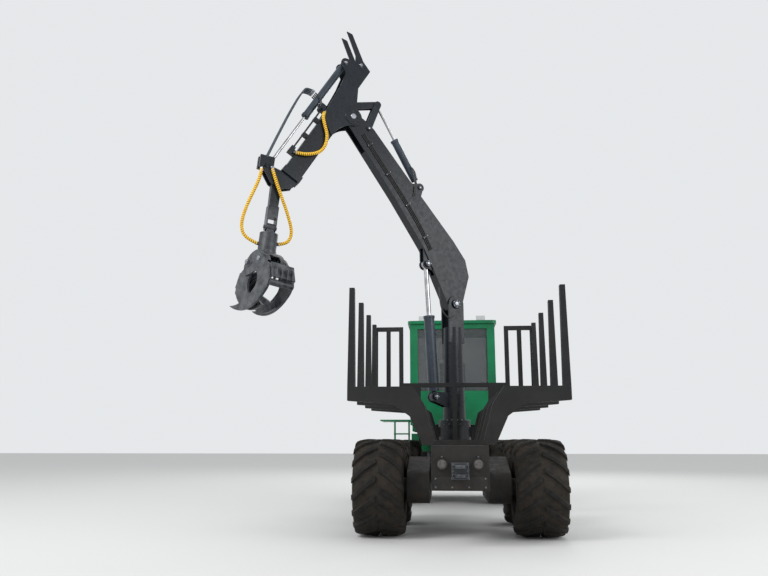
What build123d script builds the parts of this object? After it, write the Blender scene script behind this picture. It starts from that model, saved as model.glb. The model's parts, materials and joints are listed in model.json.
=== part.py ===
from build123d import *
from math import atan2, cos, degrees, radians, sin
import os

# An eight-wheel timber forwarder, in millimetres: x to the right, y to the front, z up.
# It is drawn from the middle of its rear bogies, on the ground, and moved at the end
# so that its origin is the middle of its box's floor.

# Fits
PIN_GAP = 0.3
SLIDE_GAP = 6
SEAT_GAP = 0.3

# Wheels and bogies
TYRE_D = 1230
TYRE_W = 660
RIM_D = 590
RIM_W = 580
RIM_WALL = 18
TRACK = 2040
BOGIE_BASE = 1500
FRONT_Y = 5250
WHEEL_Z = TYRE_D / 2
TREAD_W = 620
SHOULDER_D = 1160
BULGE = 150
DISC_IN = 230
BEAD_D = RIM_D + 2 * SEAT_GAP
DISC_T = 28
HUB_D = 230
BOGIE_IN = 380
BOGIE_OUT = 670
BOGIE_END_R = 205
BOGIE_MID_R = 225
AXLE_Z = 760
AXLE_D = 280

# Rear frame
FRAME_TOP = 1150
FRAME_DEPTH = 200
FRAME_W = 460
TAIL_Y = -1950
TAIL_L = 430
TAIL_W = 670
TAIL_Z = 640
LAMP_X = 210
LAMP_Z = 940
LAMP_D = 120
REAR_FRAME_END = 2980
NECK_W = 360
NECK_L = 200
HITCH_Z = 860
HITCH_H = 130
HITCH_OUT = 105
HITCH_PLATE_T = 30
HITCH_PIN_D = 50

# Bunk
BOLSTER_YS = (-1500, -450, 600, 1570)
BOLSTER_T = 140
WING_X = 1370
WING_TOP = 1860
WING_END_Z = 1690
STAKE_TOP = 3120
STAKE_W = 90
STAKE_D = 140
STAKE_X = WING_X - STAKE_W / 2
GATE_Y = 1720
GATE_T = 60
GATE_W = 2700
GATE_TOP = 3100
GATE_DIP_Z = 2150
GATE_DIP_W = 1700
GATE_BAR = 70

# Steering joint between the frames
STEER_Y = 3300
STEER_PIN_D = 110
STEER_EYE_D = 280
STEER_PLATE_T = 45
STEER_BLOCK_T = 260
STEER_Z = 1000
STEER_REAR = (420, -850)
STEER_FRONT = (360, 420)
STEER_CYL_Z = 960
STEER_LUG_R = 60

# Front frame
FRONT_FRAME_W = 620
FRONT_FRAME_TOP = 1190
FRONT_FRAME_DEPTH = 240
DECK_Z = 1390
DECK_T = 25
FRONT_FRAME_START = 3920
FRONT_END_Y = 6950
BUMPER_T = 160
BUMPER_W = 1900
BUMPER_TOP = 1370
BUMPER_BOTTOM = 760

# Cab
CAB_REAR = 3560
CAB_FRONT = 5050
CAB_W = 1640
CAB_FLOOR = 1500
CAB_TOP = 3500
CAB_WALL = 60
ROOF_T = 60
ROOF_LIP = 40
SILL_Z = 2140
WINDOW_TOP = 3340
DOOR_SILL = 1640
DOOR_TOP = 3370
PLATFORM_Z = 1600
HINGE_OUT = 15
HINGE_R = 12
HINGE_H = 60
HINGE_CAP = 30
HINGE_L = 70
HINGE_ZS = (1900, 3050)
TANK_X = 680
TANK_Z = 1190
DOOR_REAR = 3700
DOOR_FRONT = 4560
DOOR_GAP = 6
GLASS_T = 12

# Engine bay
HOOD_REAR = 5110
HOOD_FRONT = 6990
HOOD_W = 1700
HOOD_BOTTOM = 1400
HOOD_TOP = 2330
HOOD_FRONT_TOP = 2150
HOOD_WALL = 30

# Crane, in its own upright plane: r out from the pillar, z up
PILLAR_Y = 2450
SLEW = 210
PILLAR_D = 400
PILLAR_TOP_D = 330
BASE_D = 640
BASE_TOP = 1480
FOOT_Z = 3600
FOOT_PIN_D = 120
LIFT = 52.5
BOOM_W = 210
BOOM_WALL = 30
CHEEK_T = 30
KNEE = (3770, 340)
KNEE_R = 180
KNEE_PIN_D = 100
LIFT_FOOT = (400, 1950)
LIFT_EYE = (880, 0)
FOLD_FOOT = (2080, 760)
LINK_A_FOOT = (3455, 494)
LINK_B_FOOT = (3966, 480)
LINK_EYE = (3744, 964)
LINK_PIN_D = 60
LINK_R = 62
ROD_EYE_W = 44
LINK_B_T = 18
LINK_A_T = 20
LINK_GAP = 4
OUTER_ANGLE = -54.0
PLATE_T = 24
BOX_START = (200, 252)
BOX_TURN = -4.0
BOX_L = 1500
BOX_H = 320
BOX_WALL = 12
EXT_WALL = 10
EXT_OUT = 1150
EXT_FOOT = (-950, 393)
EXT_EYE_X = BOX_L + 100
HANG = (BOX_L + 200, 120)
HANG_PIN_D = 60
HANG_TILT = 6.0
LINK_L = 790
ROTATOR_D = 300
ROTATOR_TOP = 900
ROTATOR_END = 1200
GRAPPLE_TURN = 45
JAW_PIN = (ROTATOR_END + 200, 190)
JAW_PIN_D = 80
JAW_TIP = (ROTATOR_END + 860, 200)
CLAW_T = 40
CLAW_X = 210
GRAB_EYE = (ROTATOR_END + 360, 330)
LUG_T = 20
HEAD_SLOT = 190

pieces = []


def keep(piece, label):
    """Name a finished piece and note it for writing."""
    piece.label = label
    pieces.append(piece)


def tilted(base, x, y, angle):
    """The base plane moved to x, y in it and turned by an angle in degrees."""
    along = base.x_dir * cos(radians(angle)) + base.y_dir * sin(radians(angle))
    return Plane(origin=base.from_local_coords(Vector(x, y, 0)), x_dir=along, z_dir=base.z_dir)


def bone(start, start_r, end, end_r):
    """Fill the outline round two circles in the open sketch."""
    with Locations(start):
        Circle(start_r)
    with Locations(end):
        Circle(end_r)
    make_hull()


def ear(root, tip, r):
    """Fill a tongue along x from the root's x to a round end about the tip in the open sketch."""
    with Locations(((root + tip[0]) / 2, tip[1])):
        Rectangle(abs(tip[0] - root), 2 * r)
    with Locations(tip):
        Circle(r)


def barrel(base, lug_r, length, bore_d, rod_d, eye_d, eye_w, pin_d):
    """A cylinder's barrel with its foot eye at the base's origin and its bore along x."""
    outer = bore_d / 2 + bore_d * 0.16
    neck = eye_w / 2 - 2
    shoulder = lug_r + 10
    cap = shoulder + 25
    gland = 45
    with BuildPart() as made:
        with BuildSketch(base):
            with BuildLine():
                Polyline(
                    (0, 0),
                    (0, neck),
                    (shoulder, neck),
                    (shoulder, outer),
                    (length - gland, outer),
                    (length - gland, outer + 8),
                    (length, outer + 8),
                    (length, rod_d / 2 + PIN_GAP),
                    (length - gland, rod_d / 2 + PIN_GAP),
                    (length - gland, bore_d / 2),
                    (cap, bore_d / 2),
                    (cap, 0),
                    close=True,
                )
            make_face()
        revolve(axis=Axis(base.origin, base.x_dir))
        with BuildSketch(base):
            Circle(eye_d / 2)
        extrude(amount=eye_w / 2, both=True)
        with BuildSketch(base):
            Circle(pin_d / 2 + PIN_GAP)
        extrude(amount=eye_w, both=True, mode=Mode.SUBTRACT)
    return made.part


def rod(base, start, length, rod_d, eye_d, eye_w, pin_d):
    """A cylinder's rod from its inner end to its eye, along x from the barrel's foot."""
    with BuildPart() as made:
        with BuildSketch(base):
            with Locations(((start + length) / 2, rod_d / 4)):
                Rectangle(length - start, rod_d / 2)
        revolve(axis=Axis(base.origin, base.x_dir))
        with BuildSketch(base):
            with Locations((length, 0)):
                Circle(eye_d / 2)
        extrude(amount=eye_w / 2, both=True)
        with BuildSketch(base):
            with Locations((length, 0)):
                Circle(pin_d / 2 + PIN_GAP)
        extrude(amount=eye_w, both=True, mode=Mode.SUBTRACT)
    return made.part


# Wheels: a tyre and its rim on each end of each bogie
def wheel(x_side, y):
    """One wheel with its tyre, centred at the given side and y."""
    hub = Plane(origin=(x_side * TRACK / 2, y, WHEEL_Z), x_dir=(x_side, 0, 0), z_dir=(0, -x_side, 0))
    axle = Axis(hub.origin, (1, 0, 0))
    half = TYRE_W / 2
    rim_half = RIM_W / 2
    with BuildPart() as tyre:
        with BuildSketch(hub):
            with BuildLine():
                Polyline(
                    (-rim_half + RIM_WALL, BEAD_D / 2),
                    (-half, BEAD_D / 2 + BULGE),
                    (-half, SHOULDER_D / 2 - 60),
                    (-TREAD_W / 2, SHOULDER_D / 2),
                    (-TREAD_W / 4, TYRE_D / 2),
                    (TREAD_W / 4, TYRE_D / 2),
                    (TREAD_W / 2, SHOULDER_D / 2),
                    (half, SHOULDER_D / 2 - 60),
                    (half, BEAD_D / 2 + BULGE),
                    (rim_half - RIM_WALL, BEAD_D / 2),
                    close=True,
                )
            make_face()
        revolve(axis=axle)
    disc = RIM_W / 2 - DISC_IN
    with BuildPart() as rim:
        with BuildSketch(hub):
            with BuildLine():
                Polyline(
                    (-rim_half, RIM_D / 2 + 12),
                    (-rim_half, RIM_D / 2 - RIM_WALL),
                    (disc - DISC_T, RIM_D / 2 - RIM_WALL),
                    (disc - DISC_T, HUB_D / 2 + PIN_GAP),
                    (disc, HUB_D / 2 + PIN_GAP),
                    (disc, RIM_D / 2 - RIM_WALL - 40),
                    (rim_half - 60, RIM_D / 2 - RIM_WALL),
                    (rim_half, RIM_D / 2 - RIM_WALL),
                    (rim_half, RIM_D / 2 + 12),
                    (rim_half - RIM_WALL, RIM_D / 2),
                    (-rim_half + RIM_WALL, RIM_D / 2),
                    close=True,
                )
            make_face()
        revolve(axis=axle)
    return Compound(children=[tyre.part, rim.part])


WHEELS = []
for axle_name, axle_y in (("rear", 0), ("front", FRONT_Y)):
    for end_name, end in (("rear", -1), ("front", 1)):
        for side_name, side in (("left", -1), ("right", 1)):
            WHEELS.append((f"{axle_name}_bogie_{end_name}_{side_name}", side, axle_y + end * BOGIE_BASE / 2))
for wheel_name, wheel_side, wheel_y in WHEELS:
    keep(wheel(wheel_side, wheel_y), f"wheel_{wheel_name}")


# Bogie boxes and axles
def bogies(y):
    """The two bogie boxes of one axle, with the hubs that carry the wheels."""
    made = []
    hub_end = TRACK / 2 + RIM_W / 2 - DISC_IN
    for side in (-1, 1):
        face = Plane(origin=(side * BOGIE_IN, y, 0), x_dir=(0, 1, 0), z_dir=(side, 0, 0))
        with BuildPart() as box:
            with BuildSketch(face):
                for x, z, r in (
                    (-BOGIE_BASE / 2, WHEEL_Z * side, BOGIE_END_R),
                    (BOGIE_BASE / 2, WHEEL_Z * side, BOGIE_END_R),
                    (0, AXLE_Z * side, BOGIE_MID_R),
                ):
                    with Locations((x, z)):
                        Circle(r)
                make_hull()
            extrude(amount=BOGIE_OUT - BOGIE_IN)
            with BuildSketch(face.offset(BOGIE_OUT - BOGIE_IN)):
                with Locations((-BOGIE_BASE / 2, WHEEL_Z * side), (BOGIE_BASE / 2, WHEEL_Z * side)):
                    Circle(HUB_D / 2)
            extrude(amount=hub_end - BOGIE_OUT + 30)
        made.append(box.part)
    return Compound(children=made)


def axle(y, seat_z):
    """The axle tube between two bogies, with the seat that carries the frame."""
    with BuildPart() as made:
        with BuildSketch(Plane(origin=(-BOGIE_IN, y, AXLE_Z), x_dir=(0, 1, 0), z_dir=(1, 0, 0))):
            Circle(AXLE_D / 2)
        extrude(amount=2 * BOGIE_IN)
        with BuildSketch(Plane.XY.offset(AXLE_Z)):
            with Locations((0, y)):
                Rectangle(FRAME_W, 360)
        extrude(amount=seat_z - AXLE_Z)
    return made.part


FRAME_BOTTOM = FRAME_TOP - FRAME_DEPTH
FRONT_FRAME_BOTTOM = FRONT_FRAME_TOP - FRONT_FRAME_DEPTH
keep(bogies(0), "rear_bogies")
keep(bogies(FRONT_Y), "front_bogies")
keep(axle(0, FRAME_BOTTOM), "rear_axle")
keep(axle(FRONT_Y, FRONT_FRAME_BOTTOM), "front_axle")

# Rear frame: a box beam, a deeper tail, and the fork of the steering joint
STEER_TOP = STEER_Z + STEER_BLOCK_T / 2
with BuildPart() as rear_chassis:
    with BuildSketch(Plane.XY.offset(FRAME_BOTTOM)):
        with Locations((0, (TAIL_Y + REAR_FRAME_END - NECK_L) / 2)):
            Rectangle(FRAME_W, REAR_FRAME_END - NECK_L - TAIL_Y)
    extrude(amount=FRAME_DEPTH)
    with BuildSketch(Plane.XY.offset(TAIL_Z)):
        with Locations((0, TAIL_Y + TAIL_L / 2)):
            Rectangle(TAIL_W, TAIL_L)
    extrude(amount=FRAME_TOP - TAIL_Z)
    for z in (STEER_TOP + SLIDE_GAP, STEER_Z - STEER_BLOCK_T / 2 - SLIDE_GAP - STEER_PLATE_T):
        with BuildSketch(Plane.XY.offset(z)):
            with Locations((0, STEER_Y)):
                Circle(STEER_EYE_D / 2)
            with Locations((0, REAR_FRAME_END - NECK_L / 2)):
                Rectangle(NECK_W, NECK_L)
            make_hull()
        extrude(amount=STEER_PLATE_T)
    with BuildSketch(Plane.XY.offset(STEER_Z - STEER_BLOCK_T / 2 - SLIDE_GAP - STEER_PLATE_T)):
        with Locations((0, REAR_FRAME_END - NECK_L / 2)):
            Rectangle(NECK_W, NECK_L)
    extrude(amount=STEER_BLOCK_T + 2 * SLIDE_GAP + 2 * STEER_PLATE_T)
    with BuildSketch(Plane.XY.offset(STEER_Z - STEER_BLOCK_T / 2 - SLIDE_GAP - STEER_PLATE_T)):
        with Locations((0, STEER_Y)):
            Circle(STEER_PIN_D / 2)
    extrude(amount=STEER_BLOCK_T + 2 * SLIDE_GAP + 2 * STEER_PLATE_T)
    for side in (-1, 1):
        for z in (STEER_CYL_Z - 55, STEER_CYL_Z + 35):
            with BuildSketch(Plane.XY.offset(z)):
                ear(side * (FRAME_W / 2 - 20), (side * STEER_REAR[0], STEER_Y + STEER_REAR[1]), STEER_LUG_R)
            extrude(amount=20)
        with BuildSketch(Plane.XY.offset(STEER_CYL_Z - 55)):
            with Locations((side * STEER_REAR[0], STEER_Y + STEER_REAR[1])):
                Circle(25)
        extrude(amount=110)
keep(rear_chassis.part, "rear_chassis")

with BuildPart() as tow_hitch:
    with BuildSketch(Plane.XZ.offset(-TAIL_Y)):
        with Locations((0, HITCH_Z)):
            Rectangle(200, HITCH_H + 60)
    extrude(amount=30)
    for z in (HITCH_Z - HITCH_H / 2, HITCH_Z + HITCH_H / 2 - HITCH_PLATE_T):
        with BuildSketch(Plane.XY.offset(z)):
            with Locations((0, TAIL_Y - HITCH_OUT)):
                Circle(65)
            with Locations((0, TAIL_Y - 15)):
                Rectangle(180, 30)
            make_hull()
            with Locations((0, TAIL_Y - HITCH_OUT)):
                Circle(HITCH_PIN_D / 2, mode=Mode.SUBTRACT)
        extrude(amount=HITCH_PLATE_T)
keep(tow_hitch.part, "tow_hitch")

lamps = []
for side in (-1, 1):
    with BuildPart() as lamp:
        with BuildSketch(Plane.XZ.offset(-TAIL_Y)):
            with Locations((side * LAMP_X, LAMP_Z)):
                Circle(LAMP_D / 2)
        extrude(amount=35)
    lamps.append(lamp.part)
keep(Compound(children=lamps), "rear_lamps")


# Bunk: bolsters with raised wings, stakes on the wings, and the gate ahead of the load
def bolster(y):
    """One bolster, thick along y and centred at the given y."""
    with BuildPart() as made:
        with BuildSketch(Plane.XZ.offset(-y)):
            with BuildLine():
                Polyline(
                    (0, 1210),
                    (300, 1210),
                    (420, 1650),
                    (560, WING_TOP),
                    (WING_X, WING_TOP),
                    (WING_X, WING_END_Z),
                    (820, 1650),
                    (600, 1500),
                    (440, FRAME_TOP),
                    (0, FRAME_TOP),
                    close=True,
                )
            make_face()
            mirror(about=Plane.YZ)
        extrude(amount=BOLSTER_T / 2, both=True)
    return made.part


def stake(x, y):
    """One stake, tapering up from its bolster's wing."""
    with BuildPart() as made:
        with BuildSketch(Plane.XY.offset(WING_TOP)):
            with Locations((x, y)):
                Rectangle(STAKE_W, STAKE_D)
        with BuildSketch(Plane.XY.offset(STAKE_TOP)):
            with Locations((x, y)):
                Rectangle(STAKE_W - 25, STAKE_D - 50)
        loft()
    return made.part


keep(Compound(children=[bolster(y) for y in BOLSTER_YS]), "bunk_bolsters")
keep(Compound(children=[stake(s * STAKE_X, y) for y in BOLSTER_YS for s in (-1, 1)]), "bunk_stakes")

with BuildPart() as load_gate:
    with BuildSketch(Plane.XZ.offset(-GATE_Y - GATE_T)):
        with BuildLine():
            Polyline(
                (0, FRAME_TOP),
                (300, FRAME_TOP),
                (430, 1600),
                (GATE_W / 2, 1900),
                (GATE_W / 2, GATE_TOP),
                (GATE_DIP_W / 2, GATE_TOP),
                (GATE_DIP_W / 2, GATE_DIP_Z),
                (0, GATE_DIP_Z),
                close=True,
            )
        make_face()
        mirror(about=Plane.YZ)
        with BuildLine():
            Polyline(
                (GATE_BAR / 2, FRAME_TOP + GATE_BAR),
                (260, FRAME_TOP + GATE_BAR),
                (380, 1660),
                (560, 1780),
                (560, GATE_DIP_Z - GATE_BAR),
                (GATE_BAR / 2, GATE_DIP_Z - GATE_BAR),
                close=True,
            )
        make_face(mode=Mode.SUBTRACT)
        with BuildLine():
            Polyline(
                (-GATE_BAR / 2, FRAME_TOP + GATE_BAR),
                (-260, FRAME_TOP + GATE_BAR),
                (-380, 1660),
                (-560, 1780),
                (-560, GATE_DIP_Z - GATE_BAR),
                (-GATE_BAR / 2, GATE_DIP_Z - GATE_BAR),
                close=True,
            )
        make_face(mode=Mode.SUBTRACT)
        for side in (-1, 1):
            for column in (0, 1):
                left = GATE_DIP_W / 2 + GATE_BAR
                width = (GATE_W - GATE_DIP_W) / 2 - 3 * GATE_BAR
                x = side * (left + width / 4 + column * (width / 2 + GATE_BAR / 1))
                with Locations((x, (GATE_TOP - GATE_BAR + 1960) / 2)):
                    Rectangle(width / 2, GATE_TOP - GATE_BAR - 1960, mode=Mode.SUBTRACT)
    extrude(amount=GATE_T)
keep(load_gate.part, "load_gate")

# Crane base and the planes that the crane is drawn in
with BuildPart() as crane_base:
    with BuildSketch(Plane.XY.offset(FRAME_TOP)):
        with Locations((0, PILLAR_Y)):
            Rectangle(FRAME_W + 160, 640)
            Circle(BASE_D / 2)
    extrude(amount=60)
    with BuildSketch(Plane.XY.offset(FRAME_TOP + 60)):
        with Locations((0, PILLAR_Y)):
            Circle(BASE_D / 2 - 40)
    extrude(amount=BASE_TOP - FRAME_TOP - 60)
    with BuildSketch(Plane.XY.offset(FRAME_TOP + 120)):
        with Locations((0, PILLAR_Y)):
            SlotCenterToCenter(700, 170)
    extrude(amount=170)
keep(crane_base.part, "crane_base")

CRANE = Plane(
    origin=(0, PILLAR_Y, 0),
    x_dir=(cos(radians(SLEW)), sin(radians(SLEW)), 0),
    z_dir=(sin(radians(SLEW)), -cos(radians(SLEW)), 0),
)
BEAM = tilted(CRANE, 0, FOOT_Z, LIFT)
KNEE_POINT = CRANE.to_local_coords(BEAM.from_local_coords(Vector(*KNEE, 0)))
OUTER = tilted(CRANE, KNEE_POINT.X, KNEE_POINT.Y, OUTER_ANGLE)
BOX = tilted(OUTER, *BOX_START, BOX_TURN)
HANG_POINT = CRANE.to_local_coords(BOX.from_local_coords(Vector(*HANG, 0)))
CHAIN = tilted(CRANE, HANG_POINT.X, HANG_POINT.Y, HANG_TILT - 90)
JAW_AXIS = Vector(cos(radians(GRAPPLE_TURN)), sin(radians(GRAPPLE_TURN)), 0)
JAW_AXIS = (JAW_AXIS - CHAIN.x_dir * JAW_AXIS.dot(CHAIN.x_dir)).normalized()
GRAPPLE = Plane(origin=CHAIN.origin, x_dir=CHAIN.x_dir, z_dir=JAW_AXIS)

BOOM_HALF = BOOM_W / 2
PLATE_IN = BOOM_HALF + SLIDE_GAP
PLATE_OUT = PLATE_IN + PLATE_T

# Crane pillar: a tapered tube with cheeks round the boom's foot and a lug for the lift cylinder
LIFT_BORE = 140
LIFT_ROD_D = 85
LIFT_EYE_W = 90
with BuildPart() as pillar:
    with BuildSketch(Plane.XY.offset(BASE_TOP + SEAT_GAP)):
        with Locations((0, PILLAR_Y)):
            Circle(BASE_D / 2 - 40)
    extrude(amount=70)
    with BuildSketch(Plane.XY.offset(BASE_TOP + SEAT_GAP + 70)):
        with Locations((0, PILLAR_Y)):
            Circle(PILLAR_D / 2)
    with BuildSketch(Plane.XY.offset(FOOT_Z - 420)):
        with Locations((0, PILLAR_Y)):
            Circle(PILLAR_TOP_D / 2)
    loft()
    for side in (-1, 1):
        start = PLATE_IN if side > 0 else -PLATE_OUT - 6
        with BuildSketch(CRANE.offset(start)):
            with BuildLine():
                Polyline((-150, FOOT_Z - 700), (150, FOOT_Z - 700), (150, FOOT_Z), (-150, FOOT_Z), close=True)
            make_face()
            with Locations((0, FOOT_Z)):
                Circle(150)
        extrude(amount=PLATE_T + 6)
        start = LIFT_EYE_W / 2 + SLIDE_GAP if side > 0 else -LIFT_EYE_W / 2 - SLIDE_GAP - 30
        with BuildSketch(CRANE.offset(start)):
            bone((120, LIFT_FOOT[1] - 60), 130, LIFT_FOOT, 90)
        extrude(amount=30)
    with BuildSketch(CRANE):
        with Locations((0, FOOT_Z)):
            Circle(FOOT_PIN_D / 2)
    extrude(amount=PLATE_OUT + 20, both=True)
    with BuildSketch(CRANE):
        with Locations(LIFT_FOOT):
            Circle(40)
    extrude(amount=LIFT_EYE_W / 2 + SLIDE_GAP + 45, both=True)
keep(pillar.part, "crane_pillar")

# Lift cylinder
LIFT_EYE_POINT = CRANE.to_local_coords(BEAM.from_local_coords(Vector(*LIFT_EYE, 0)))
LIFT_LINE = (LIFT_EYE_POINT.X - LIFT_FOOT[0], LIFT_EYE_POINT.Y - LIFT_FOOT[1])
LIFT_LENGTH = (LIFT_LINE[0] ** 2 + LIFT_LINE[1] ** 2) ** 0.5
LIFT_AXIS = tilted(CRANE, *LIFT_FOOT, degrees(atan2(LIFT_LINE[1], LIFT_LINE[0])))
LIFT_BARREL_L = 1420
LIFT_ROD_START = 900
keep(barrel(LIFT_AXIS, 90, LIFT_BARREL_L, LIFT_BORE, LIFT_ROD_D, 160, LIFT_EYE_W, 80), "lift_cylinder_barrel")
keep(rod(LIFT_AXIS, LIFT_ROD_START, LIFT_LENGTH, LIFT_ROD_D, 150, LIFT_EYE_W, 80), "lift_cylinder_rod")

# Main boom: a gooseneck box with a forked head, a bracket for the fold cylinder and a lift lug
with BuildPart() as main_boom:
    with BuildSketch(BEAM):
        with BuildLine():
            Polyline(
                (-110, 90),
                (240, 560),
                (520, 690),
                (930, 700),
                (1440, 670),
                (2340, 620),
                (3000, 590),
                (3380, 575),
                (3520, 555),
                (3680, 490),
                (3860, 180),
                (3570, 190),
                (2170, 160),
                (1160, 100),
                (700, 10),
                (60, -135),
                close=True,
            )
        make_face()
        Circle(150)
        with Locations(KNEE):
            Circle(KNEE_R)
    extrude(amount=BOOM_HALF, both=True)
    with BuildSketch(BEAM):
        with Locations((3800, 500)):
            Rectangle(1300, 900)
    extrude(amount=BOOM_HALF - CHEEK_T, both=True, mode=Mode.SUBTRACT)
    with BuildSketch(BEAM):
        with Locations((LIFT_EYE[0] + 20, LIFT_EYE[1] + 30)):
            Rectangle(520, 360)
    extrude(amount=LIFT_EYE_W / 2 + SLIDE_GAP, both=True, mode=Mode.SUBTRACT)
    with BuildSketch(BEAM):
        with Locations(LINK_A_FOOT):
            Circle(LINK_PIN_D / 2)
    extrude(amount=BOOM_HALF + 12, both=True)
    for side in (-1, 1):
        start = ROD_EYE_W / 2 + SLIDE_GAP if side > 0 else -ROD_EYE_W / 2 - SLIDE_GAP - 25
        with BuildSketch(BEAM.offset(start)):
            with BuildLine():
                Polyline((1880, 600), (2260, 600), (2140, 790), (2020, 790), close=True)
            make_face()
            with Locations(FOLD_FOOT):
                Circle(80)
        extrude(amount=25)
        start = LIFT_EYE_W / 2 + SLIDE_GAP if side > 0 else -LIFT_EYE_W / 2 - SLIDE_GAP - 30
        with BuildSketch(BEAM.offset(start)):
            with BuildLine():
                Polyline((640, 60), (780, -20), (980, -20), (1200, 140), (640, 140), close=True)
            make_face()
            with Locations(LIFT_EYE):
                Circle(90)
        extrude(amount=30)
        start = LIFT_EYE_W / 2 + SLIDE_GAP + 30 if side > 0 else -LIFT_EYE_W / 2 - SLIDE_GAP - 45
        with BuildSketch(BEAM.offset(start)):
            with Locations(LIFT_EYE):
                Circle(55)
        extrude(amount=15)
    with BuildSketch(BEAM):
        with Locations(FOLD_FOOT):
            Circle(LINK_PIN_D / 2)
    extrude(amount=ROD_EYE_W / 2 + SLIDE_GAP + 40, both=True)
    with BuildSketch(BEAM):
        Circle(FOOT_PIN_D / 2 + PIN_GAP)
        with Locations(KNEE):
            Circle(KNEE_PIN_D / 2 + PIN_GAP)
    extrude(amount=BOOM_W, both=True, mode=Mode.SUBTRACT)
keep(main_boom.part, "main_boom")

# Fold cylinder and the two links that turn the knee
FOLD_LINE = (LINK_EYE[0] - FOLD_FOOT[0], LINK_EYE[1] - FOLD_FOOT[1])
FOLD_LENGTH = (FOLD_LINE[0] ** 2 + FOLD_LINE[1] ** 2) ** 0.5
FOLD_AXIS = tilted(BEAM, *FOLD_FOOT, degrees(atan2(FOLD_LINE[1], FOLD_LINE[0])))
keep(barrel(FOLD_AXIS, 130, 980, 100, 44, 130, ROD_EYE_W, LINK_PIN_D), "fold_cylinder_barrel")
keep(rod(FOLD_AXIS, 700, FOLD_LENGTH, 44, 110, ROD_EYE_W, LINK_PIN_D), "fold_cylinder_rod")


def link_pair(foot, inner, thick, pin_cap):
    """Two like link plates from a foot pin to the cylinder's eye, at one distance each side."""
    made = []
    for side in (-1, 1):
        start = inner if side > 0 else -inner - thick
        with BuildPart() as plate:
            with BuildSketch(BEAM.offset(start)):
                bone(foot, LINK_R, LINK_EYE, LINK_R)
                with Locations(foot):
                    Circle(LINK_PIN_D / 2 + PIN_GAP, mode=Mode.SUBTRACT)
            extrude(amount=thick)
            if pin_cap:
                cap_start = inner + thick if side > 0 else -inner - thick - pin_cap
                with BuildSketch(BEAM.offset(cap_start)):
                    with Locations(LINK_EYE):
                        Circle(LINK_PIN_D / 2 + 12)
                extrude(amount=pin_cap)
        made.append(plate.part)
    return Compound(children=made)


LINK_B_IN = ROD_EYE_W / 2 + LINK_GAP
LINK_A_IN = LINK_B_IN + LINK_B_T + LINK_GAP
keep(link_pair(LINK_A_FOOT, LINK_A_IN, LINK_A_T, 5), "knee_links")
keep(link_pair(LINK_B_FOOT, LINK_B_IN, LINK_B_T, 0), "knee_struts")

# Outer boom: two side plates round the knee, a box sleeve ahead of them and a fork behind
LINK_B_POINT = OUTER.to_local_coords(BEAM.from_local_coords(Vector(*LINK_B_FOOT, 0)))
EXT_FOOT_POINT = OUTER.to_local_coords(BOX.from_local_coords(Vector(*EXT_FOOT, 0)))
with BuildPart() as outer_boom:
    for side in (-1, 1):
        start = PLATE_IN if side > 0 else -PLATE_OUT
        with BuildSketch(OUTER.offset(start)):
            with BuildLine():
                Polyline(
                    (-1060, 300),
                    (-500, 250),
                    (-160, 40),
                    (100, -130),
                    (420, 70),
                    (420, 400),
                    (-300, 520),
                    (-600, 600),
                    (-660, 780),
                    (-800, 790),
                    (-960, 690),
                    (-1060, 560),
                    close=True,
                )
            make_face()
            Circle(170)
        extrude(amount=PLATE_T)
        start = PLATE_OUT + 30 if side > 0 else -PLATE_OUT - 55
        with BuildSketch(OUTER.offset(start)):
            with BuildLine():
                Polyline((-890, 700), (-1100, 1090), (-1300, 970), (-1030, 420), (-900, 480), close=True)
            make_face()
        extrude(amount=25)
    with BuildSketch(OUTER):
        with Locations((-950, 560)):
            Circle(45)
    extrude(amount=PLATE_OUT + 55, both=True)
    with BuildSketch(OUTER):
        with Locations((LINK_B_POINT.X, LINK_B_POINT.Y)):
            Circle(LINK_PIN_D / 2)
        with Locations((EXT_FOOT_POINT.X, EXT_FOOT_POINT.Y)):
            Circle(25)
        Circle(KNEE_PIN_D / 2)
    extrude(amount=PLATE_OUT + 10, both=True)
    with BuildSketch(BOX):
        with Locations((BOX_L / 2, 0)):
            Rectangle(BOX_L, BOX_H)
    extrude(amount=PLATE_IN, both=True)
    with BuildSketch(BOX):
        with Locations((BOX_L / 2 + 15, 0)):
            Rectangle(BOX_L + 30, BOX_H - 2 * BOX_WALL)
    extrude(amount=PLATE_IN - BOX_WALL, both=True, mode=Mode.SUBTRACT)
    with BuildSketch(BOX):
        with Locations((BOX_L - 60, 0)):
            Rectangle(120, BOX_H + 40)
    extrude(amount=PLATE_IN + 20, both=True)
    with BuildSketch(BOX):
        with Locations((BOX_L - 60, 0)):
            Rectangle(130, BOX_H - 2 * BOX_WALL)
    extrude(amount=PLATE_IN - BOX_WALL, both=True, mode=Mode.SUBTRACT)
keep(outer_boom.part, "outer_boom")

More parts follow.
